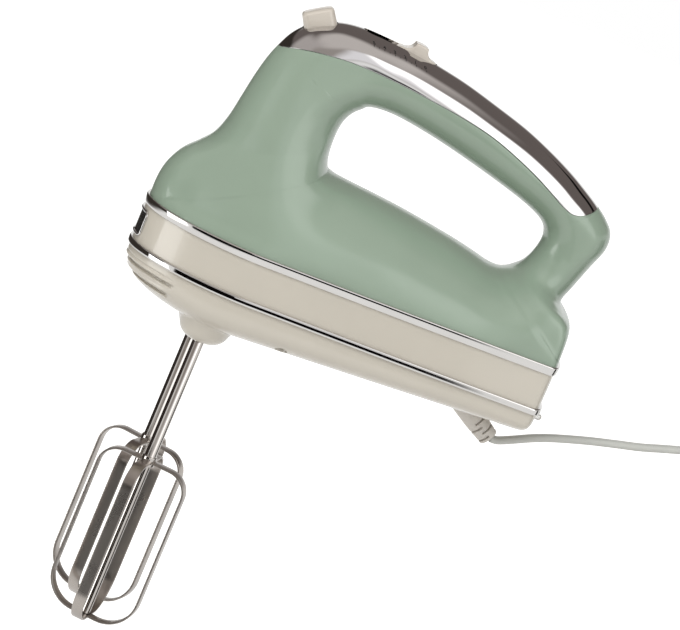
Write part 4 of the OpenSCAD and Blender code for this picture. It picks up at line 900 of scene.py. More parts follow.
class MixerAddStage(bpy.types.Operator):
    """Camera, soft lamps, studio world and a plain pale floor"""

    bl_idname = "mixer.add_stage"
    bl_label = "Stage"

    def execute(self, context):
        s, scene = context.scene.mixer_stage, context.scene
        scene.view_settings.view_transform = "Standard"
        back = direction(s.azimuth, s.elevation)
        right = Vector((math.cos(s.azimuth), math.sin(s.azimuth), 0))
        up = back.cross(right)
        # a camera that leans anticlockwise shows the mixer turned clockwise
        c, r = math.cos(s.roll), math.sin(s.roll)
        axes = Matrix((right * c + up * r, up * c - right * r, back)).transposed()
        aim = Vector((-0.021, 0.0, -0.104))
        camera = bpy.data.objects.new("view", bpy.data.cameras.new("view"))
        scene.collection.objects.link(camera)
        camera.data.lens, camera.data.sensor_width = s.lens, 36
        camera.data.clip_start, camera.data.clip_end = 0.05, 20
        camera.location = aim + back * s.distance
        camera.rotation_mode = "QUATERNION"
        camera.rotation_quaternion = axes.to_quaternion()
        scene.camera = camera
        soft_lamp("key", aim, -35, 48, 1.4, 1.0, 0.8, s.key)
        soft_lamp("fill", aim, 50, 25, 1.5, 1.0, 1.0, s.key * 0.3)
        studio_world()
        pale_floor()
        return {"FINISHED"}


# ---- lead ----
def lead_profile(width, thickness):
    """Flat twin lead: a rounded rectangle, less a shallow Gaussian valley between its two cores on each face."""
    outline = rounded_rect(width, thickness, thickness / 2 - 0.02, 9)
    outline[:, 1] -= np.sign(outline[:, 1]) * 0.22 * np.exp(-((outline[:, 0] / 0.6) ** 2))
    return outline


def coil_path(layers):
    """Route of the lead from its boot, round the coil and into the plug, in three runs.

    The coil has two columns of turns side by side. Each layer's radius is less by a little more than the lead's
    thickness, and the change of layer or column is spread over a third of a turn. The tail lies on the coil's face,
    then bends over in a quarter circle and goes down into the plug."""
    first = np.column_stack([LEAD_ROUTE[:, 0], np.zeros(len(LEAD_ROUTE)), LEAD_ROUTE[:, 1]])
    outer_r, step, column_y = 34.5, 3.85, 2.85
    places = []
    for k in range(layers):
        near = column_y if k % 2 == 0 else -column_y
        places += [(outer_r - k * step, y) for y in (near, -near)]
    # radius and y at which the lead leaves the last turn, on the coil's face
    face = (31.4, 9.8)
    turns = np.arange(0.0, len(places) + 0.30, 1 / 40)
    whole = np.floor(turns).astype(int)
    place = np.array(places + [face])
    now, then = (place[np.minimum(whole + k, len(place) - 1)] for k in (0, 1))
    k = smooth(0.62, 1.0, turns - whole)
    r, y = mix(now[:, 0], then[:, 0], k), mix(now[:, 1], then[:, 1], k)
    y = y * smooth(0, 0.25, turns)
    a = -2 * np.pi * turns
    ring = COIL_MID + np.stack([r * np.cos(a), y, r * np.sin(a)], 1)
    plug_x, plug_top, plug_y, bend_r = COIL_MID[0] + 9.5, COIL_MID[2] + 18, 14.15, 14
    b = np.radians(np.arange(90, -1, -15))
    over = np.stack([plug_x - bend_r + bend_r * np.cos(b), mix(10.6, plug_y, smooth(0, 5, np.arange(7))),
                     plug_top + 1.5 + bend_r * np.sin(b)], 1)
    tail = np.vstack([COIL_MID + [-9.5, 10.0, 31.2], over, [[plug_x, plug_y, plug_top - 1]]])
    return first, ring[turns <= len(places) - 1 + 0.69][2:], tail


class MixerAddLead(bpy.types.Operator):
    """Flat mains lead in one run: from the boot, round the hanging coil and into the plug, with its tie"""

    bl_idname = "mixer.add_lead"
    bl_label = "Lead"

    def execute(self, context):
        s = context.scene.mixer_lead
        # Extruded PVC: satin, slightly wavy along its length, a little darker where handled.
        pvc, tree, shader, where = new_material("pvc_lead", **{"IOR": 1.53, "Coat Weight": 0.15,
                                                               "Coat Roughness": 0.35})
        shade_of(tree, shader, where, *shades("lead", 0.942), 14)
        gloss_of(tree, shader, where, 0.42, 0.55, 2.5)
        grain_of(tree, shader, where, 1.2, 0.02, 0.4)
        route = smooth_path(np.vstack(coil_path(s.layers)), 1.6)
        profile = lead_profile(s.width * 1000, s.thickness * 1000)
        piece = new_piece("mains_lead", [swept(route, (0, 1, 0), profile)],
                          ("mains_cord", "cord_coil", "plug_lead"), "frame", [pvc])
        # the part of the lead that lies inside the body, up to its clamp
        inside = np.array([[29, 0, -114.7], [33, 0, -114.7], [37.4, 0, -115.6], [41.7, 0, -117.9],
                           [50, 0, -123.1], [60, 0, -129.4], [64.6, 0, -132.2], [66.8, 0, -133.1]])
        new_piece("lead_inside", [swept(smooth_path(inside, 1.6), (0, 1, 0), profile)], None, "frame",
                  [pvc])
        tie, plug = lead_tie(), mains_plug()
        return {"FINISHED"}


def lead_tie():
    """Band round the coil: a small rounded section carried along a rounded rectangle, square to the coil."""
    # Moulded black rubber: matt, with a faint bloom.
    rubber = moulded("rubber_tie", "#3A3A3B", "#444446", 0.6, grain=0.05, patch=5, ior=1.52)
    thick, lean, to_coil = 1.5, 35, 31
    band = rounded_rect(17.4 - thick, 15.4 - thick, 2.6, 8)
    loop = turned(np.column_stack([np.zeros(len(band)), band]) + [0, 0, to_coil], COIL_MID, lean)
    across = unit(turned(np.array([1.0, 0, 0]), np.zeros(3), lean))
    return new_piece("lead_tie", [swept(loop, across, rounded_rect(8, 1.3, 0.6, 5), closed=True)],
                     "cord_tie", "frame", [rubber])


def mains_plug():
    """Flat two-pole plug: rounded rectangles that narrow and thin from the pin face to the lead by smooth steps.

    A Gaussian waist gives the fingers hold, and quarter circles round the edges at both ends."""
    # Moulded PVC: satin, a little darker than the lead.
    pvc = moulded("pvc_plug", *shades("plug", 0.925), 0.45, grain=0.03, patch=9, ior=1.53)
    low, high = box_mm("plug_body")
    mid, h = (low + high) / 2, high[2] - low[2]
    wide, thick, wide_end, thick_end = 35.3, 13.7, 16, 10
    s = np.concatenate([[0, 0.008, 0.02, 0.04], np.linspace(0.08, 0.94, 30), [0.965, 0.985, 1.0]])
    k = smooth(0.42, 0.95, s)
    a = wide * (mix(1.0, wide_end / wide, k) - 0.05 * np.exp(-(((s - 0.3) / 0.12) ** 2)))
    b = thick * (mix(1.0, thick_end / thick, k) - 0.12 * np.exp(-(((s - 0.33) / 0.1) ** 2)))
    edge_in = 2 * (rolled(s * h, 0.8) + rolled((1 - s) * h, 1.5))
    sections = []
    for a_k, b_k, share in zip(a - edge_in, b - edge_in, s):
        outline = rounded_rect(a_k, b_k, min(5.0, b_k / 2 - 0.4, a_k / 2 - 0.4), 10) + mid[:2]
        sections.append(np.column_stack([outline, np.full(len(outline), low[2] + share * h)]))
    return new_piece("mains_plug", [loft(sections)], "plug_body", "frame", [pvc])


class MixerAddBoot(bpy.types.Operator):
    """Strain relief with staggered slots where the lead leaves the body"""

    bl_idname = "mixer.add_boot"
    bl_label = "Boot"

    def execute(self, context):
        # Soft moulded PVC: satin, and pale like the lead.
        pvc = moulded("pvc_boot", *shades("boot", 0.945), 0.5, grain=0.03, patch=8, ior=1.53)
        length, neck, mouth_r, body_r, neck_r, bore = 34.0, 28, 4.7, 5.35, 4.6, 2.75
        heights = np.concatenate([[0, 0.15, 0.4, 0.8], np.linspace(1.2, 13.2, 61), np.linspace(13.6, 33.5, 20),
                                  [length]])
        angles = np.linspace(0, 2 * np.pi, 120, endpoint=False)
        h, a = np.meshgrid(heights, angles, indexing="ij")
        r = mix(mouth_r, body_r, smooth(0, 12.8, h)) - rolled(h, 0.8)
        r = np.where(h > neck, mix(body_r, neck_r, smooth(neck, neck + 0.6, h)), r)
        # four rows of slots, each a quarter turn from the next, with two slots opposite each other in a row
        pitch, first, rows, depth = 2.75, 1.9, 4, 1.5
        row = np.clip(np.round((h - first) / pitch), 0, rows - 1)
        near = np.abs(h - first - row * pitch)
        side = np.cos(2 * (a + np.pi / 4 + row * np.pi / 2))
        r = r - depth * (1 - smooth(0.28, 0.48, near)) * smooth(-0.45, -0.25, side)
        skin_points = np.stack([r * np.cos(a), r * np.sin(a), h], -1)
        inner = disc(bore, count=len(angles))
        bore_rows = [np.column_stack([inner, np.full(len(inner), z)]) for z in (length, length / 2, 0.0)]
        shell = np.concatenate([np.stack(bore_rows), skin_points])
        quads = grid_faces(len(shell), len(angles), ring_rows=True, ring_cols=True)
        new_piece("lead_boot", [(along_boot(shell.reshape(-1, 3)), quads)], "cord_boot", "frame", [pvc],
                  crease=50)
        return {"FINISHED"}


# ---- housing and covers ----
def body_rows(first, last, step, dense):
    """Rib numbers from first to last, closer together beside the given ribs, where the joint leaves the middle plane.

    Each of these is a rib and the side, 1 or -1, on which the rows lie close."""
    near = np.concatenate([rib + side * np.linspace(0, 1, 22) ** 1.6 * 0.9 for rib, side in dense])
    return np.unique(np.round(np.concatenate([np.arange(first, last, step), near]), 6))


# Distances from a seam's edge, in mm, at which the rows of points beside it lie, and how far in they reach.
SEAM_ROWS = np.array([0.0, 0.07, 0.18, 0.35, 0.6, 1.0]) * 1.2
SEAM_REACH = 1.3


def per_t(u, t):
    """Millimetres that the skin covers per unit of t, just short of t on rib u."""
    return np.maximum(np.linalg.norm(skin(u, t) - skin(u, t - 0.01), axis=-1) / 0.01, 1e-3)[:, None]


def with_wall(u, t, from_edge, cross, seam):
    """Outer and inner points of a cover whose edge is rounded by the seam's radius on the ribs that cross the joint.

    The inner point lies one wall's thickness along the normal from the outer one, and never past the middle plane."""
    u = np.broadcast_to(u[:, None], t.shape)
    outer, normal = skin(u, t), skin_normal(u, t)
    outer = outer - np.where(cross[:, None], rolled(from_edge, seam), 0)[..., None] * normal
    inner = outer - WALL * normal
    inner[..., 1] = np.minimum(inner[..., 1], -0.02)
    return outer, inner


class MixerAddHousing(bpy.types.Operator):
    """Upper housing with the handle, moulded in glossy green"""

    bl_idname = "mixer.add_housing"
    bl_label = "Housing"

    def execute(self, context):
        seam = context.scene.mixer_body.seam * 1000
        u = body_rows(0, len(RIBS), 1 / 6, ((COVER_FIRST, 1), (COVER_LAST, -1)))
        ends = joint_t(u)
        cross = (ends < 1) & (u > COVER_FIRST) & (u < COVER_LAST)
        ends_col, cross_col, scale = ends[:, None], cross[:, None], per_t(u, ends)
        # points spaced as a sine from the opening, and the last ones close to the joint where a rib crosses it
        share = np.sin(np.linspace(0, 0.92, 34) * np.pi / 2) / math.sin(0.92 * np.pi / 2)
        limit = np.maximum(ends_col - SEAM_REACH / scale, ends_col * 0.9)
        t_main = ends_col * share[None, :-1]
        t_main = np.where(cross_col, t_main * (limit / ends_col), t_main)
        t_edge = ends_col - (SEAM_ROWS[None, ::-1] + 0.08) / scale
        plain = ends_col * np.linspace(share[-2], 1, len(SEAM_ROWS) + 1)[None, 1:]
        t_edge = np.where(cross_col, np.maximum(t_edge, limit), plain)
        far = np.full(t_main.shape, 9.0)
        from_edge = np.concatenate([far, np.broadcast_to(SEAM_ROWS[::-1], t_edge.shape)], 1)
        outer, inner = with_wall(u, np.concatenate([t_main, t_edge], 1), from_edge, cross, seam)
        inner[:, 0, 1] = 0
        inner[..., 2] = np.maximum(inner[..., 2], WAIST_Z)
        shut = (~cross) & (u <= HEEL_RIB)
        outer[shut, -1, 1] = inner[shut, -1, 1] = 0
        both = [np.concatenate([half[:, ::-1], half[:, 1:] * FLIP], 1) for half in (outer, inner)]
        # Glossy moulded ABS in muted green: even, with a clear shine over a long soft waviness.
        green = moulded("glossy_green_abs", *shades("housing", 0.956), 0.33, coat=0.6, coat_rough=0.08, grain=0.01,
                        patch=40, wave=25)
        new_piece("housing", [shell_between(*both, True, shut)], "upper_housing", "frame", [green],
                  crease=60)
        return {"FINISHED"}


class MixerAddTopCover(bpy.types.Operator):
    """Chromed top cover of the handle, with the holes for the button and the slider"""

    bl_idname = "mixer.add_top_cover"
    bl_label = "Top cover"

    def execute(self, context):
        seam = context.scene.mixer_body.seam * 1000
        u = body_rows(COVER_FIRST, COVER_LAST, 1 / 10, ((COVER_FIRST, 1), (COVER_LAST, -1)))
        u = np.unique(np.append(u, COVER_LAST))
        start = joint_t(u)
        cross = start < 1
        # no row near the edge goes further than its share of the way to the outline
        reach = np.maximum(1 - start, 0)[:, None] * np.linspace(0.02, 0.3, len(SEAM_ROWS))
        t_edge = start[:, None] + np.minimum((SEAM_ROWS[None] + 0.08) / per_t(u, start), reach)
        t_main = mix(t_edge[:, -1:], 1, np.linspace(0, 1, 26)[None, 1:])
        far = np.full(t_main.shape, 9.0)
        from_edge = np.concatenate([np.broadcast_to(SEAM_ROWS, t_edge.shape), far], 1)
        outer, inner = with_wall(u, np.concatenate([t_edge, t_main], 1), from_edge, cross, seam)
        outer[:, -1, 1] = inner[:, -1, 1] = 0
        outer[~cross, :, 1] = inner[~cross, :, 1] = 0
        both = [np.concatenate([half, half[:, -2::-1] * FLIP], 1) for half in (outer, inner)]
        # Chromed ABS: a clear mirror with the faint orange peel of plating on plastic.
        chrome = plated("chromed_abs", *shades("chrome", 0.96), 0.035, 0.07, patch=40, grain=0.006)
        piece = new_piece("top_cover", [shell_between(*both, False, ~cross)], "handle_top_cover",
                          "frame", [chrome], crease=60)
        cut(piece, [pillar(rounded_rect(15.9, 10.7, 3.35, 10), -12, 18, along_button),
                    pillar(stadium(37.3, 9.1) + [0.35, 0], -10, 10, along_slot)])
        return {"FINISHED"}


def trim_section(low, high, proud, r, lean, crown=0.07):
    """Closed section of a trim: flat inside, and outside a slightly crowned face between two rounded edges.

    The crown is a parabola, the edges are quarter circles, the lower one smaller, and the foot of the face stands
    back from its head by lean."""
    k, h, low_r = np.linspace(0, np.pi / 2, 7), high - low, r * 0.7
    top = np.stack([proud - r + r * np.sin(k), high - r + r * np.cos(k)], 1)
    z = np.linspace(high - r, low + low_r, 9)[1:-1]
    face = np.stack([proud + crown * (1 - ((z - (low + high) / 2) / (h / 2)) ** 2), z], 1)
    bottom = np.stack([proud - low_r + low_r * np.cos(k), low + low_r - low_r * np.sin(k)], 1)
    section = np.vstack([top, face, bottom])
    section[:, 0] -= crown + lean * (high - section[:, 1]) / h
    return np.vstack([section, [[-WALL, low], [-WALL, high]]])


def round_the_waist(section, count=150):
    """A section of (outward, z) carried round the waist's outline, square to it everywhere."""
    outline = plan_outline(count)
    n = plan_normals(outline)
    xy = outline[:, None] + section[None, :, 0, None] * n[:, None]
    p = np.concatenate([xy, np.broadcast_to(section[None, :, 1, None], (*xy.shape[:2], 1))], -1)
    return p.reshape(-1, 3), grid_faces(len(outline), len(section), ring_rows=True, ring_cols=True)


class MixerAddWaist(bpy.types.Operator):
    """The two chromed trims and the cream band between them"""

    bl_idname = "mixer.add_waist"
    bl_label = "Trims and band"

    def execute(self, context):
        r, proud = context.scene.mixer_body.trim_edge * 1000, 1.4
        # Chrome-plated strip: brighter and flatter than the moulded cover.
        chrome = plated("chromed_trim", "#DAD8D5", "#D4D2CF", 0.04, 0.09, patch=30, grain=0.003)
        for name, node, lean in (("trim_above", "upper_trim", 0.5), ("trim_below", "lower_trim", 0.0)):
            low, high = box_mm(node)
            section = trim_section(low[2], high[2], proud, r, lean)
            new_piece(name, [round_the_waist(section)], node, "frame", [chrome], crease=50)
        z = np.linspace(BAND_Z, BAND_TOP, 6)
        section = np.vstack([np.column_stack([np.zeros(6), z]), [[-WALL, BAND_TOP], [-WALL, BAND_Z]]])
        new_piece("band", [round_the_waist(section)], "waist_band", "frame", [glossy_cream()])
        return {"FINISHED"}


def glossy_cream():
    """Glossy cream ABS: warm and even, with a polished skin over a long soft waviness."""
    return bpy.data.materials.get("glossy_cream_abs") or moulded(
        "glossy_cream_abs", *shades("cream", 0.965), 0.35, coat=0.8, coat_rough=0.08, grain=0.008, patch=40, wave=25)


def hull_depth(x):
    """Depth of the bottom cover below its rim, which falls evenly from 75 mm ahead of the grip to the heel."""
    return BOTTOM_DEPTH - BOTTOM_RISE * np.clip((x + 75) / (HEEL_X + 75), 0, 1)


def hull_power(x):
    """Power of the cover's superelliptic cross-section, which grows by smooth steps from the nose to the heel."""
    return mix(mix(2.5, 3.6, smooth(NOSE_X, -70, x)), 4, smooth(30, HEEL_X, x))


# Grooves round the nose: height, share of the full depth, half width.
GROOVES = ((-113.0, 1.0, 0.85), (-118.1, 1.0, 0.85), (-110.3, 0.2, 0.5))


def bottom_surface(inset, groove):
    """Points of the bottom cover, across from one rim to the other and from the nose to the heel.

    A quarter of a superellipse falls from each rim point to the ridge, and the grooves are pressed in square to it:
    exp(-(d / half width) ^ 4) of the distance in height, less a low Gaussian swelling above. The larger of that and
    the boss, blended over 4.5 mm, is taken downwards. The boss is flat below the spindles, then a ball's curve as
    far as a slope of 77 degrees, then a cone. The inside is the same with every size inset."""
    x = np.concatenate([plan_stations(64), np.arange(-97, -61, 0.5), np.arange(-60, 66, 7)])
    x = np.unique(np.round(x, 5))
    turns = np.concatenate([np.linspace(0, np.pi / 2, 34), np.arccos(np.linspace(0.24, 0.80, 44) ** 1.76),
                            np.arcsin(np.linspace(0.05, 0.75, 34) ** 1.35)])
    turns = np.minimum(np.unique(np.round(turns, 5)), np.pi / 2)
    py = (plan_half(x) * (1 - inset / BODY_HALF_W))[:, None]
    px = mix(NOSE_X + inset, HEEL_X - inset, (x - NOSE_X) / (HEEL_X - NOSE_X))[:, None]
    power = 2 / hull_power(px)
    c, d = np.maximum(np.cos(turns), 1e-9)[None] ** power, np.sin(turns)[None] ** power
    c[:, -1] = 0
    mid = np.clip(px, NOSE_X + 40, HEEL_X - 14)
    X, Y, Z = mix(mid, px, c), py * c, COVER_Z - (hull_depth(px) - inset) * d
    X, Y, Z = (np.concatenate([g, w * g[:, -2::-1]], 1) for g, w in ((X, 1), (Y, -1), (Z, 1)))
    along = smooth(-101.0, -103.5, X)
    for height, share, half in GROOVES:
        swelling = 0.3 * share * np.exp(-(((Z - height - 1.9 * half) / half) ** 2))
        dip = groove * along * (share * np.exp(-(((Z - height) / half) ** 4)) - swelling)
        way = unit(np.stack([X - mid, Y, np.zeros_like(X)], -1))
        X, Y = X - dip * way[..., 0], Y - dip * way[..., 1]
    away = np.hypot(X - DRIVE_X, np.maximum(0, np.abs(Y) - SPINDLE_Y))
    flat, r, tilt = BOSS_R - BOSS_EDGE, BOSS_EDGE - inset, math.radians(77)
    reach = r * math.sin(tilt)
    boss = BOSS_Z + BOSS_EDGE - np.sqrt(r**2 - np.clip(away - flat, 0, reach) ** 2)
    boss = boss + np.maximum(0, away - flat - reach) * math.tan(tilt)
    return np.stack([X, Y, -soft_max(-Z, -boss, 4.5)], -1)


class MixerAddBottomCover(bpy.types.Operator):
    """Cream bottom cover with the beater boss and the grooves round its nose"""

    bl_idname = "mixer.add_bottom_cover"
    bl_label = "Bottom cover"

    def execute(self, context):
        outer = bottom_surface(0, context.scene.mixer_body.groove * 1000)
        shell = shell_between(outer, bottom_surface(WALL, 0), False, np.zeros(len(outer), bool))
        piece = new_piece("bottom_cover_shell", [shell], "bottom_cover", "frame", [glossy_cream()])
        spindle_r, screw_r, boot_r = 7.0, 3.0, 5.7
        holes = [pillar(disc(spindle_r, (DRIVE_X, y)), BOSS_Z - 2, COVER_Z - 8) for y in (-SPINDLE_Y, SPINDLE_Y)]
        screws = [(x, side * y) for x, y in ((-45, 33.0), (58, 29.5)) for side in (-1, 1)]
        holes += [pillar(disc(screw_r, at), COVER_Z - 24, COVER_Z - 4) for at in screws]
        holes += [pillar(disc(boot_r), -2, 35.5, along_boot)]
        cut(piece, holes)
        return {"FINISHED"}


class MixerAddBadge(bpy.types.Operator):
    """Bare nose badge with a raised chromed rim round a dark field"""

    bl_idname = "mixer.add_badge"
    bl_label = "Badge"

    def execute(self, context):
        low, high = box_mm("nose_badge")
        half, mid_z = np.array([11.0, (high[2] - low[2]) / 2]), (low[2] + high[2]) / 2
        # rows from the outer edge inwards: how far in, and how far proud of the band; the rim is 1.6 mm wide
        rim_w, field, corner, steps = 1.6, 0.55, 2.5, 14
        rim_in = np.linspace(0.05, rim_w, steps)
        rim_h = np.interp(rim_in, [0, 0.3, 0.8, 1.1, 1.3, rim_w], [0.85, 1.12, 1.2, 1.05, 0.62, field])
        inset = np.concatenate([[0, 0], rim_in, np.linspace(1.8, half[1] - 0.3, 8)])
        proud = np.concatenate([[0, field], rim_h, np.full(8, field)])
        rows = []
        for i, h in zip(inset, proud):
            a, b = half - i
            corners = rounded_rect(2 * a, 2 * b, max(0.2, min(corner - i * 0.8, b - 0.05)), steps).reshape(4, -1, 2)
            # the straight sides are divided, so that they follow the band's curve
            sides = [mix(corners[k][-1], corners[(k + 1) % 4][0], np.linspace(0, 1, 18)[1:-1, None]) for k in range(4)]
            line = np.vstack([part for k in range(4) for part in (corners[k], sides[k])])
            rows.append(np.column_stack([line, np.full(len(line), h)]))
        back, ridge = rows[0] * [1, 1, 0], rows[-1] * [1, 0, 1]
        grid = np.stack([back * [1, 0, 0], back, *rows, ridge])
        # the badge is wrapped on the band: sideways distance runs along the outline from the nose
        outline = plan_outline(900)
        line = np.vstack([outline[-450:], outline[:451]])
        run = run_along(line)
        run -= run[450]
        normal = plan_normals(line)
        sideways = grid[..., 0] * 0.985
        x, y = (np.interp(sideways, run, line[:, k]) + np.interp(sideways, run, normal[:, k]) * grid[..., 2]
                for k in (0, 1))
        p = np.stack([x, y, mid_z + grid[..., 1]], -1)
        # the rows after the back, its copy and the rim are the field
        paint = np.repeat((np.arange(len(p) - 1) > steps).astype(int), p.shape[1])
        # Black enamel field: deep and glossy, bare of any sign.
        enamel = moulded("black_enamel", "#1B1C1D", "#242526", 0.12, coat=1.0, coat_rough=0.03, grain=0.01, patch=6)
        shell = (p.reshape(-1, 3), grid_faces(len(p), p.shape[1], ring_cols=True), paint)
        new_piece("badge", [shell], "nose_badge", "frame",
                  [bpy.data.materials["chromed_trim"], enamel], crease=50)
        return {"FINISHED"}


# ---- controls ----
def eject_button(cream):
    """Button: rounded rectangles stacked along its own Z, with a guide plate, a stem and a foot on the ejector.

    The top edge is a quarter circle, the sides draw in by a few hundredths towards the top by a smooth step, and the
    top is crowned by a parabola."""
    top, r, wide, thick, corner = 8.0, 1.5, 15.2, 10.0, 3.0
    k = np.linspace(0, np.pi / 2, 10)
    heights = np.concatenate([[-9.0, -6.2, -6.0, -3.0, 0.0, 3.0], top - r + r * np.sin(k)])
    insets = np.concatenate([[1.0, 1.0, 0.0, 0.0, 0.0, 0.0], r - r * np.cos(k)])
    rings = []
    for i, h in zip(insets, heights):
        line = rounded_rect(wide - 2 * i, thick - 2 * i, corner - 0.7 * i, 12)
        rings.append(np.column_stack([line, np.full(len(line), h)]))
    rings += [rings[-1] * [f, f, 1] for f in (0.8, 0.6, 0.4, 0.2, 0.04)]
    block = np.stack(rings)
    block[..., :2] *= 1 - 0.035 * smooth(0, top, block[..., 2:3])
    bulge = 0.5 * np.minimum((block[..., 0] / (wide / 2)) ** 2 + (block[..., 1] / (thick / 2)) ** 2, 1)
    block[..., 2] -= bulge * smooth(top - 3 * r, top, block[..., 2])
    points, quads = loft(list(block))
    shells = [(along_button(points), quads),
              pillar(rounded_rect(12.2, 13, 2), -9, -7.5, along_button),
              lathe([(0, -13.4), (3.4, -13.4), (3.4, -8.6), (0, -8.6)], 40, along_button),
              pillar(rounded_rect(14, 8, 0.8) + [-77, 0], 4.5, 7.5)]
    return new_piece("button", shells, "eject_button", "eject_button", [cream])


def speed_slider(cream):
    """Slider: a block with round ends and a thumb rest in the middle, on a plate, with a leg to the switch.

    From the flat top of the rest the height falls by a quarter circle on each side, down to a low parabola, with
    the two blended over 0.9 mm; the edges are quarter circles."""
    length, half_w, under = 21.6, 4.2, -4.3
    mid, flat, rise, peak, edge_r = -9.8, 3.0, 4.8, 6.2, 1.0
    close = np.linspace(0, 1, 60) ** 2 * half_w
    fall = np.linspace(0, 1, 40) ** 2 * rise
    x = np.unique(np.concatenate([-close, -length + close, np.linspace(-length, 0, 120), mid + flat + fall,
                                  mid - flat - fall]))
    d = np.clip(np.abs(x - mid) - flat, 0, rise)
    top = peak - np.sqrt(np.maximum(rise**2 - (rise - d) ** 2, 0))
    top = -soft_max(-top, -(peak + 0.05 - 0.06 * (x - mid) ** 2), 0.9)
    from_end = np.clip(np.minimum(-x, x + length), 0, half_w)
    half = np.sqrt(np.maximum(half_w**2 - (half_w - from_end) ** 2, 0))
    top = top - 0.5 * rolled(half, edge_r)
    v = np.linspace(-1, 1, 41)
    y = half[:, None] * (np.sign(v) * (1 - (1 - np.abs(v)) ** 1.6))[None]
    z = np.maximum(top[:, None] - rolled(half[:, None] - np.abs(y), edge_r), under + 0.2)
    x_grid = np.broadcast_to(x[:, None], z.shape)
    above = np.stack([x_grid, y, z], -1)
    below = np.stack([x_grid, y, np.full(z.shape, under)], -1)
    loop = np.concatenate([above, below[:, ::-1]], 1)
    shells = [(along_slot(loop.reshape(-1, 3)), grid_faces(len(x), loop.shape[1], ring_cols=True)),
              pillar(rounded_rect(15.6, 10.8, 0.6) + [-length / 2, 0], under, under + 1.2, along_slot),
              pillar(rounded_rect(4, 3, 0.5) + [-length / 2, 0], -13, -3, along_slot)]
    return new_piece("slider", shells, "speed_slider", "slider", [cream], crease=50)


class MixerAddControls(bpy.types.Operator):
    """Eject button and speed slider"""

    bl_idname = "mixer.add_controls"
    bl_label = "Button and slider"

    def execute(self, context):
        # Cream button plastic: a shade darker and pinker than the band, satin to glossy.
        cream = moulded("cream_button_abs", *shades("controls", 0.964), 0.32, coat=0.8, coat_rough=0.08, grain=0.006,
                        patch=12, wave=12)
        eject_button(cream)
        speed_slider(cream)
        return {"FINISHED"}


class MixerAddScale(bpy.types.Operator):
    """Printed speed scale beside the slot: plain numbers with a tick under each"""

    bl_idname = "mixer.add_scale"
    bl_label = "Speed scale"

    def execute(self, context):
        curve = bpy.data.curves.new("scale", "FONT")
        curve.body, curve.size, curve.space_character = "5  4  3  2  1  0", 2.6, 1.62
        curve.extrude, curve.offset, curve.resolution_u = 0.03, 0.05, 3
        lettering = bpy.data.objects.new("scale", curve)
        context.scene.collection.objects.link(lettering)
        mesh = bpy.data.meshes.new_from_object(lettering.evaluated_get(context.evaluated_depsgraph_get()))
        bpy.data.objects.remove(lettering)
        bm = bmesh.new()
        bm.from_mesh(mesh)
        # eleven ticks under the row, long and short by turns; the end ones lie within the row's width
        width, ticks, thick = max(v.co.x for v in bm.verts), 11, 0.28
        for k in range(ticks):
            x = np.clip(width * k / (ticks - 1), thick / 2, width - thick / 2)
            tall = 0.9 if k % 2 == 0 else 0.5
            for v in bmesh.ops.create_cube(bm, size=1.0)["verts"]:
                v.co = (x + v.co.x * thick, -1.0 + v.co.y * tall, v.co.z * 0.06)
        bmesh.ops.remove_doubles(bm, verts=bm.verts, dist=0.002)
        bm.to_mesh(mesh)
        bm.free()
        # a point x along the row and y up from its foot goes to the rib at that distance, y further up the flank
        p = np.empty(3 * len(mesh.vertices))
        mesh.vertices.foreach_get("co", p)
        p = p.reshape(-1, 3)
        foot_share, start_x = 0.555, 2.0
        u = np.linspace(15.0, 18.6, 200)
        at = np.interp(p[:, 0] + start_x, run_along(skin(u, mix(joint_t(u), 1, foot_share))), u)
        foot = mix(joint_t(at), 1, foot_share)
        t = foot + p[:, 1] / (np.linalg.norm(skin(at, foot + 0.03) - skin(at, foot), axis=-1) / 0.03)
        placed = skin(at, t) + (p[:, 2] + 0.03)[:, None] * skin_normal(at, t)
        mesh.vertices.foreach_set("co", (placed / 1000).ravel())
        piece = bpy.data.objects.new("speed_scale", mesh)
        context.scene.collection.objects.link(piece)
        mesh.materials.clear()
        # Pad-printed ink: flat and nearly black.
        mesh.materials.append(moulded("pad_print_ink", "#121111", "#161616", 0.6, grain=0.002, patch=3))
        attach(piece, "frame")
        return {"FINISHED"}


# ---- beaters ----
def loop_line(inset, height, count=14):
    """Closed middle line of a beater loop in its own plane, evenly sampled.

    Four quarter circles joined by straight lines, tight above and full below, as far inside as inset."""
    w, rt, rl = 22.25 - inset, 10.5 - inset, 16 - inset
    parts = []
    for cx, cz, r, a0 in ((w - rl, rl + inset, rl, -90), (w - rt, height - rt - inset, rt, 0),
                          (-w + rt, height - rt - inset, rt, 90), (-w + rl, rl + inset, rl, 180)):
        a = np.radians(a0 + np.linspace(0, 90, count))
        parts.append(np.stack([cx + r * np.cos(a), cz + r * np.sin(a)], 1))
    line = np.vstack([*parts, parts[0][:1]])
    return at_runs(line, np.linspace(0, run_along(line)[-1], 260, endpoint=False))


def shaft_profile(tip, head, top):
    """Radius and height up a beater's shaft: a pin through the loops, the head on them, the rod and its collar."""
    pin, rod, collar = 2.15, 2.75, 2.45
    return [(0, tip + 1.1), (pin - 0.25, tip + 1.1), (pin, tip + 1.35), (pin, head - 3.0), (3.1, head - 2.9),
            (3.35, head - 2.75), (3.45, head - 2.4), (3.45, head + 1.5), (3.35, head + 1.9), (3.1, head + 2.0),
            (2.85, head + 2.05), (rod, head + 2.3), (rod, BOSS_Z + 30), (collar, BOSS_Z + 30.4),
            (collar, BOSS_Z + 32.2), (rod, BOSS_Z + 32.6), (rod, top - 2), (rod - 0.1, top - 1.7), (rod - 0.8, top),
            (0, top)]


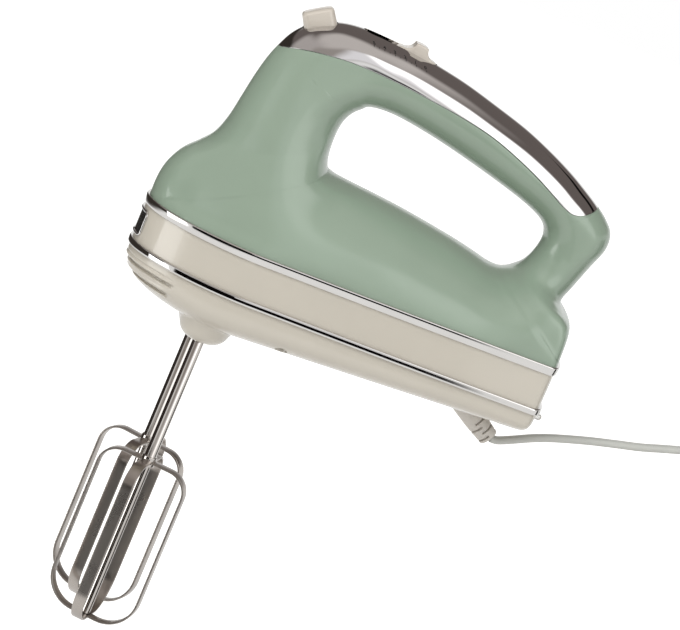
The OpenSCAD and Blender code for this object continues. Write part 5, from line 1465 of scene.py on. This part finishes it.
def on_spindle(y, degrees):
    """A function that turns points about Z by the angle given and moves them to the spindle at that y."""
    a = math.radians(degrees)
    spin = np.array([[math.cos(a), math.sin(a), 0], [-math.sin(a), math.cos(a), 0], [0, 0, 1]])
    return lambda p: np.asarray(p) @ spin + [DRIVE_X, y, 0]


class MixerAddBeaters(bpy.types.Operator):
    """Two polished steel beaters, each a shaft with two crossed loops"""

    bl_idname = "mixer.add_beaters"
    bl_label = "Beaters"

    def execute(self, context):
        # Tumbled steel strip: satin, with soft broad highlights.
        steel, tree, shader, where = new_material("tumbled_stainless", **{"Metallic": 1.0})
        shade_of(tree, shader, where, "#B4ADA6", "#A9A29C", 14)
        gloss_of(tree, shader, where, 0.26, 0.32, 14)
        # Ground and polished rod: sharp bright and dark lines down its length.
        rod = plated("polished_stainless_rod", "#C6C1BC", "#C0BBB6", 0.05, 0.09, patch=30, grain=0.0)
        loop_h = 81
        for side, y, turn in (("left", -SPINDLE_Y, -19), ("right", SPINDLE_Y, -26)):
            place = on_spindle(y, turn)
            tip, top = box_mm(f"beater_{side}_loops")[0][2], box_mm(f"beater_{side}_shaft")[1][2]
            shaft = lathe(shaft_profile(tip, tip + loop_h, top), 48, place)
            new_piece(f"shaft_{side}", [shaft], f"beater_{side}_shaft", f"beater_{side}", [rod],
                      crease=40)
            across, up = loop_line(0.55, loop_h).T
            path = np.column_stack([across, np.zeros(len(across)), up + tip])
            strip = rounded_rect(5.5, 1.1, 0.36, 5)
            shells = []
            for order, bed in (([0, 1, 2], (0.0, 1.0, 0.0)), ([1, 0, 2], (1.0, 0.0, 0.0))):
                p, q = swept(path[:, order], bed, strip, closed=True)
                shells.append((place(p), q))
            new_piece(f"loops_{side}", shells, f"beater_{side}_loops", f"beater_{side}", [steel],
                      crease=50)
        return {"FINISHED"}


class MixerAddBumpers(bpy.types.Operator):
    """Two clear studs on the heel, on which the mixer stands between uses"""

    bl_idname = "mixer.add_bumpers"
    bl_label = "Heel studs"

    def execute(self, context):
        low, high = box_mm("rear_bumpers")
        # Clear PVC stud: see-through, with a soft bright edge.
        clear, tree, shader, where = new_material("clear_pvc", **{"IOR": 1.53, "Transmission Weight": 0.85})
        shade_of(tree, shader, where, "#F2F1EE", "#EBEAE6", 3)
        gloss_of(tree, shader, where, 0.12, 0.2, 1.0)
        # a rod along X whose end is half an ellipse
        r, dome_h, from_middle = 1.5, 1.2, 26
        mid_z = (low[2] + high[2]) / 2
        k = np.linspace(0, np.pi / 2, 10)
        dome = np.stack([r * np.cos(k), high[0] - dome_h + dome_h * np.sin(k)], 1)
        points, quads = lathe(np.vstack([[(0, low[0]), (r, low[0])], dome]), 40)
        shells = [(np.stack([points[:, 2], points[:, 1] + y, -points[:, 0] + mid_z], 1), quads)
                  for y in (-from_middle, from_middle)]
        new_piece("heel_studs", shells, "rear_bumpers", "frame", [clear])
        return {"FINISHED"}


def spring_wire():
    """Drawn and polished steel wire: grey, with narrow soft highlights."""
    return plated("spring_wire", "#A9A9A8", "#9C9C9B", 0.2, 0.35, 3)


def inner_finishes():
    """Finishes of the parts inside the body, each with the CAD nodes that wear it."""
    return (
        # Moulded acetal: milky white and waxy.
        (moulded("acetal", "#E4E1D8", "#DAD7CE", 0.35, grain=0.02, patch=8, ior=1.48),
         ("ejector_rod", "worm_wheel_left", "worm_wheel_right", "cooling_fan")),
        # Black glass-filled nylon: dull, with a fine moulded skin.
        (moulded("black_nylon", "#26272A", "#2E2F32", 0.5, grain=0.03, patch=6),
         ("rod_guide", "speed_switch", "cord_clamp")),
        (spring_wire(), ("brush_springs",)),
        # Die-cast zinc: pale grey, rough from the mould.
        (plated("die_cast_zinc", "#9A9C9E", "#8C8E90", 0.4, 0.55, 5, 0.05), ("gear_frame", "motor_bracket")),
        # Sintered bronze: brown and open-pored.
        (plated("sintered_bronze", "#9C7546", "#8A663B", 0.4, 0.55, 2, 0.03),
         ("front_motor_bush", "rear_motor_bush", "upper_spindle_bushes", "lower_spindle_bushes", "brush_holders")),
        # Stacked sheet steel: dark grey and dull.
        (plated("motor_sheet_steel", "#6B6D70", "#5C5E61", 0.4, 0.55, 4), ("motor_stator", "armature_core")),
        # Enamelled copper wire: deep red-brown, with a lacquer shine.
        (plated("enamelled_copper", "#8F4A22", "#A2572A", 0.25, 0.4, 1.2, 0.04), ("field_coils", "armature_windings")),
        # Turned copper bars: pink-brown, burnished by the brushes.
        (plated("copper_bars", "#B3754A", "#A3683F", 0.25, 0.35, 2), ("commutator",)),
        # Zinc-plated steel: cool bright grey.
        (plated("zinc_plated_screw", "#B4B5B3", "#A4A5A2", 0.22, 0.35, 2),
         ("motor_screws", "frame_screws", "case_screws", "clamp_screws")),
        # Pressed carbon: matt charcoal.
        (moulded("carbon_block", "#2A2A2B", "#343435", 0.7, grain=0.05, patch=2), ("carbon_brushes",)),
        # Dipped capacitor case: mustard, half gloss.
        (moulded("capacitor_case", "#B8A24E", "#AD9848", 0.4, patch=6), ("suppression_capacitor",)),
        # PVC wire sleeve: slate blue, satin.
        (moulded("lead_sleeve", "#4A4C58", "#42444F", 0.45, patch=4), ("switch_leads",)),
        # Nickel-plated brass: warm and bright.
        (plated("nickel_brass_pin", "#C9BFA4", "#BFB496", 0.15, 0.25, 3), ("plug_pins",)),
        # Ground steel: even silver grey.
        (plated("ground_shaft_steel", "#A7A8AA", "#9B9C9E", 0.18, 0.28, 5),
         ("armature_shaft", "worm", "spindle_left", "spindle_right")),
    )


class MixerFinishInside(bpy.types.Operator):
    """Finishes of the parts inside the body"""

    bl_idname = "mixer.finish_inside"
    bl_label = "Inside"

    def execute(self, context):
        by_node = {o["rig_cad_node"]: o.data for o in context.scene.objects if "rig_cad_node" in o}
        for finish, nodes in inner_finishes():
            for node in nodes:
                by_node[node].materials.clear()
                by_node[node].materials.append(finish)
        return {"FINISHED"}


class MixerAddSpring(bpy.types.Operator):
    """Coil spring under the ejector's collar, with its foot on the guide"""

    bl_idname = "mixer.add_spring"
    bl_label = "Ejector spring"

    def execute(self, context):
        # a circle whose height rises evenly over the live turns and stays level in the closed ones at each end
        low, high = box_mm("eject_spring")
        wire, live, closed, per_turn = 1.0, 4.5, 0.6, 40
        r = (high[0] - low[0] - wire) / 2
        turn = np.linspace(0, live + 2 * closed, int(per_turn * (live + 2 * closed)) + 1)
        rise = np.clip((turn - closed) / live, 0, 1)
        path = np.stack([DRIVE_X + r * np.cos(2 * np.pi * turn), r * np.sin(2 * np.pi * turn),
                         mix(low[2] + wire / 2, high[2] - wire / 2, rise)], -1)
        coil = swept(path, (0, 0, 1), disc(wire / 2, count=12))
        piece = new_piece("eject_spring_wire", [coil], "eject_spring", None, [spring_wire()])
        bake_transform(piece)
        return {"FINISHED"}


# ---- sidebar and running order ----
STEPS = (
    MixerAddStage, MixerAddLead, MixerAddBoot, MixerAddHousing, MixerAddTopCover, MixerAddWaist, MixerAddBottomCover,
    MixerAddBadge, MixerAddControls, MixerAddScale, MixerAddBeaters, MixerAddBumpers, MixerAddSpring,
    MixerFinishInside,
)


class MixerPanel(bpy.types.Panel):
    """The settings, and the steps in the order in which they are run"""

    bl_idname = "VIEW3D_PT_mixer"
    bl_label = "Hand mixer"
    bl_space_type = "VIEW_3D"
    bl_region_type = "UI"
    bl_category = "Mixer"

    def draw(self, context):
        for group in GROUPS:
            settings = getattr(context.scene, group)
            for name in settings.bl_rna.properties.keys():
                if name not in ("rna_type", "name"):
                    self.layout.prop(settings, name)
        for step in STEPS:
            self.layout.operator(step.bl_idname)


GROUPS = {"mixer_body": MixerBody, "mixer_lead": MixerLead, "mixer_colours": MixerColours, "mixer_stage": MixerStage}


def register():
    """Registers the settings, the steps and the panel."""
    for name, group in GROUPS.items():
        bpy.utils.register_class(group)
        setattr(bpy.types.Scene, name, PointerProperty(type=group))
    for step in (*STEPS, MixerPanel):
        bpy.utils.register_class(step)


def unregister():
    """Takes away what register added, in the opposite order."""
    for step in (MixerPanel, *reversed(STEPS)):
        bpy.utils.unregister_class(step)
    for name, group in GROUPS.items():
        delattr(bpy.types.Scene, name)
        bpy.utils.unregister_class(group)


def main():
    """Runs the steps in order."""
    register()
    for step in STEPS:
        area, name = step.bl_idname.split(".")
        getattr(getattr(bpy.ops, area), name)()


if __name__ == "__main__":
    main()
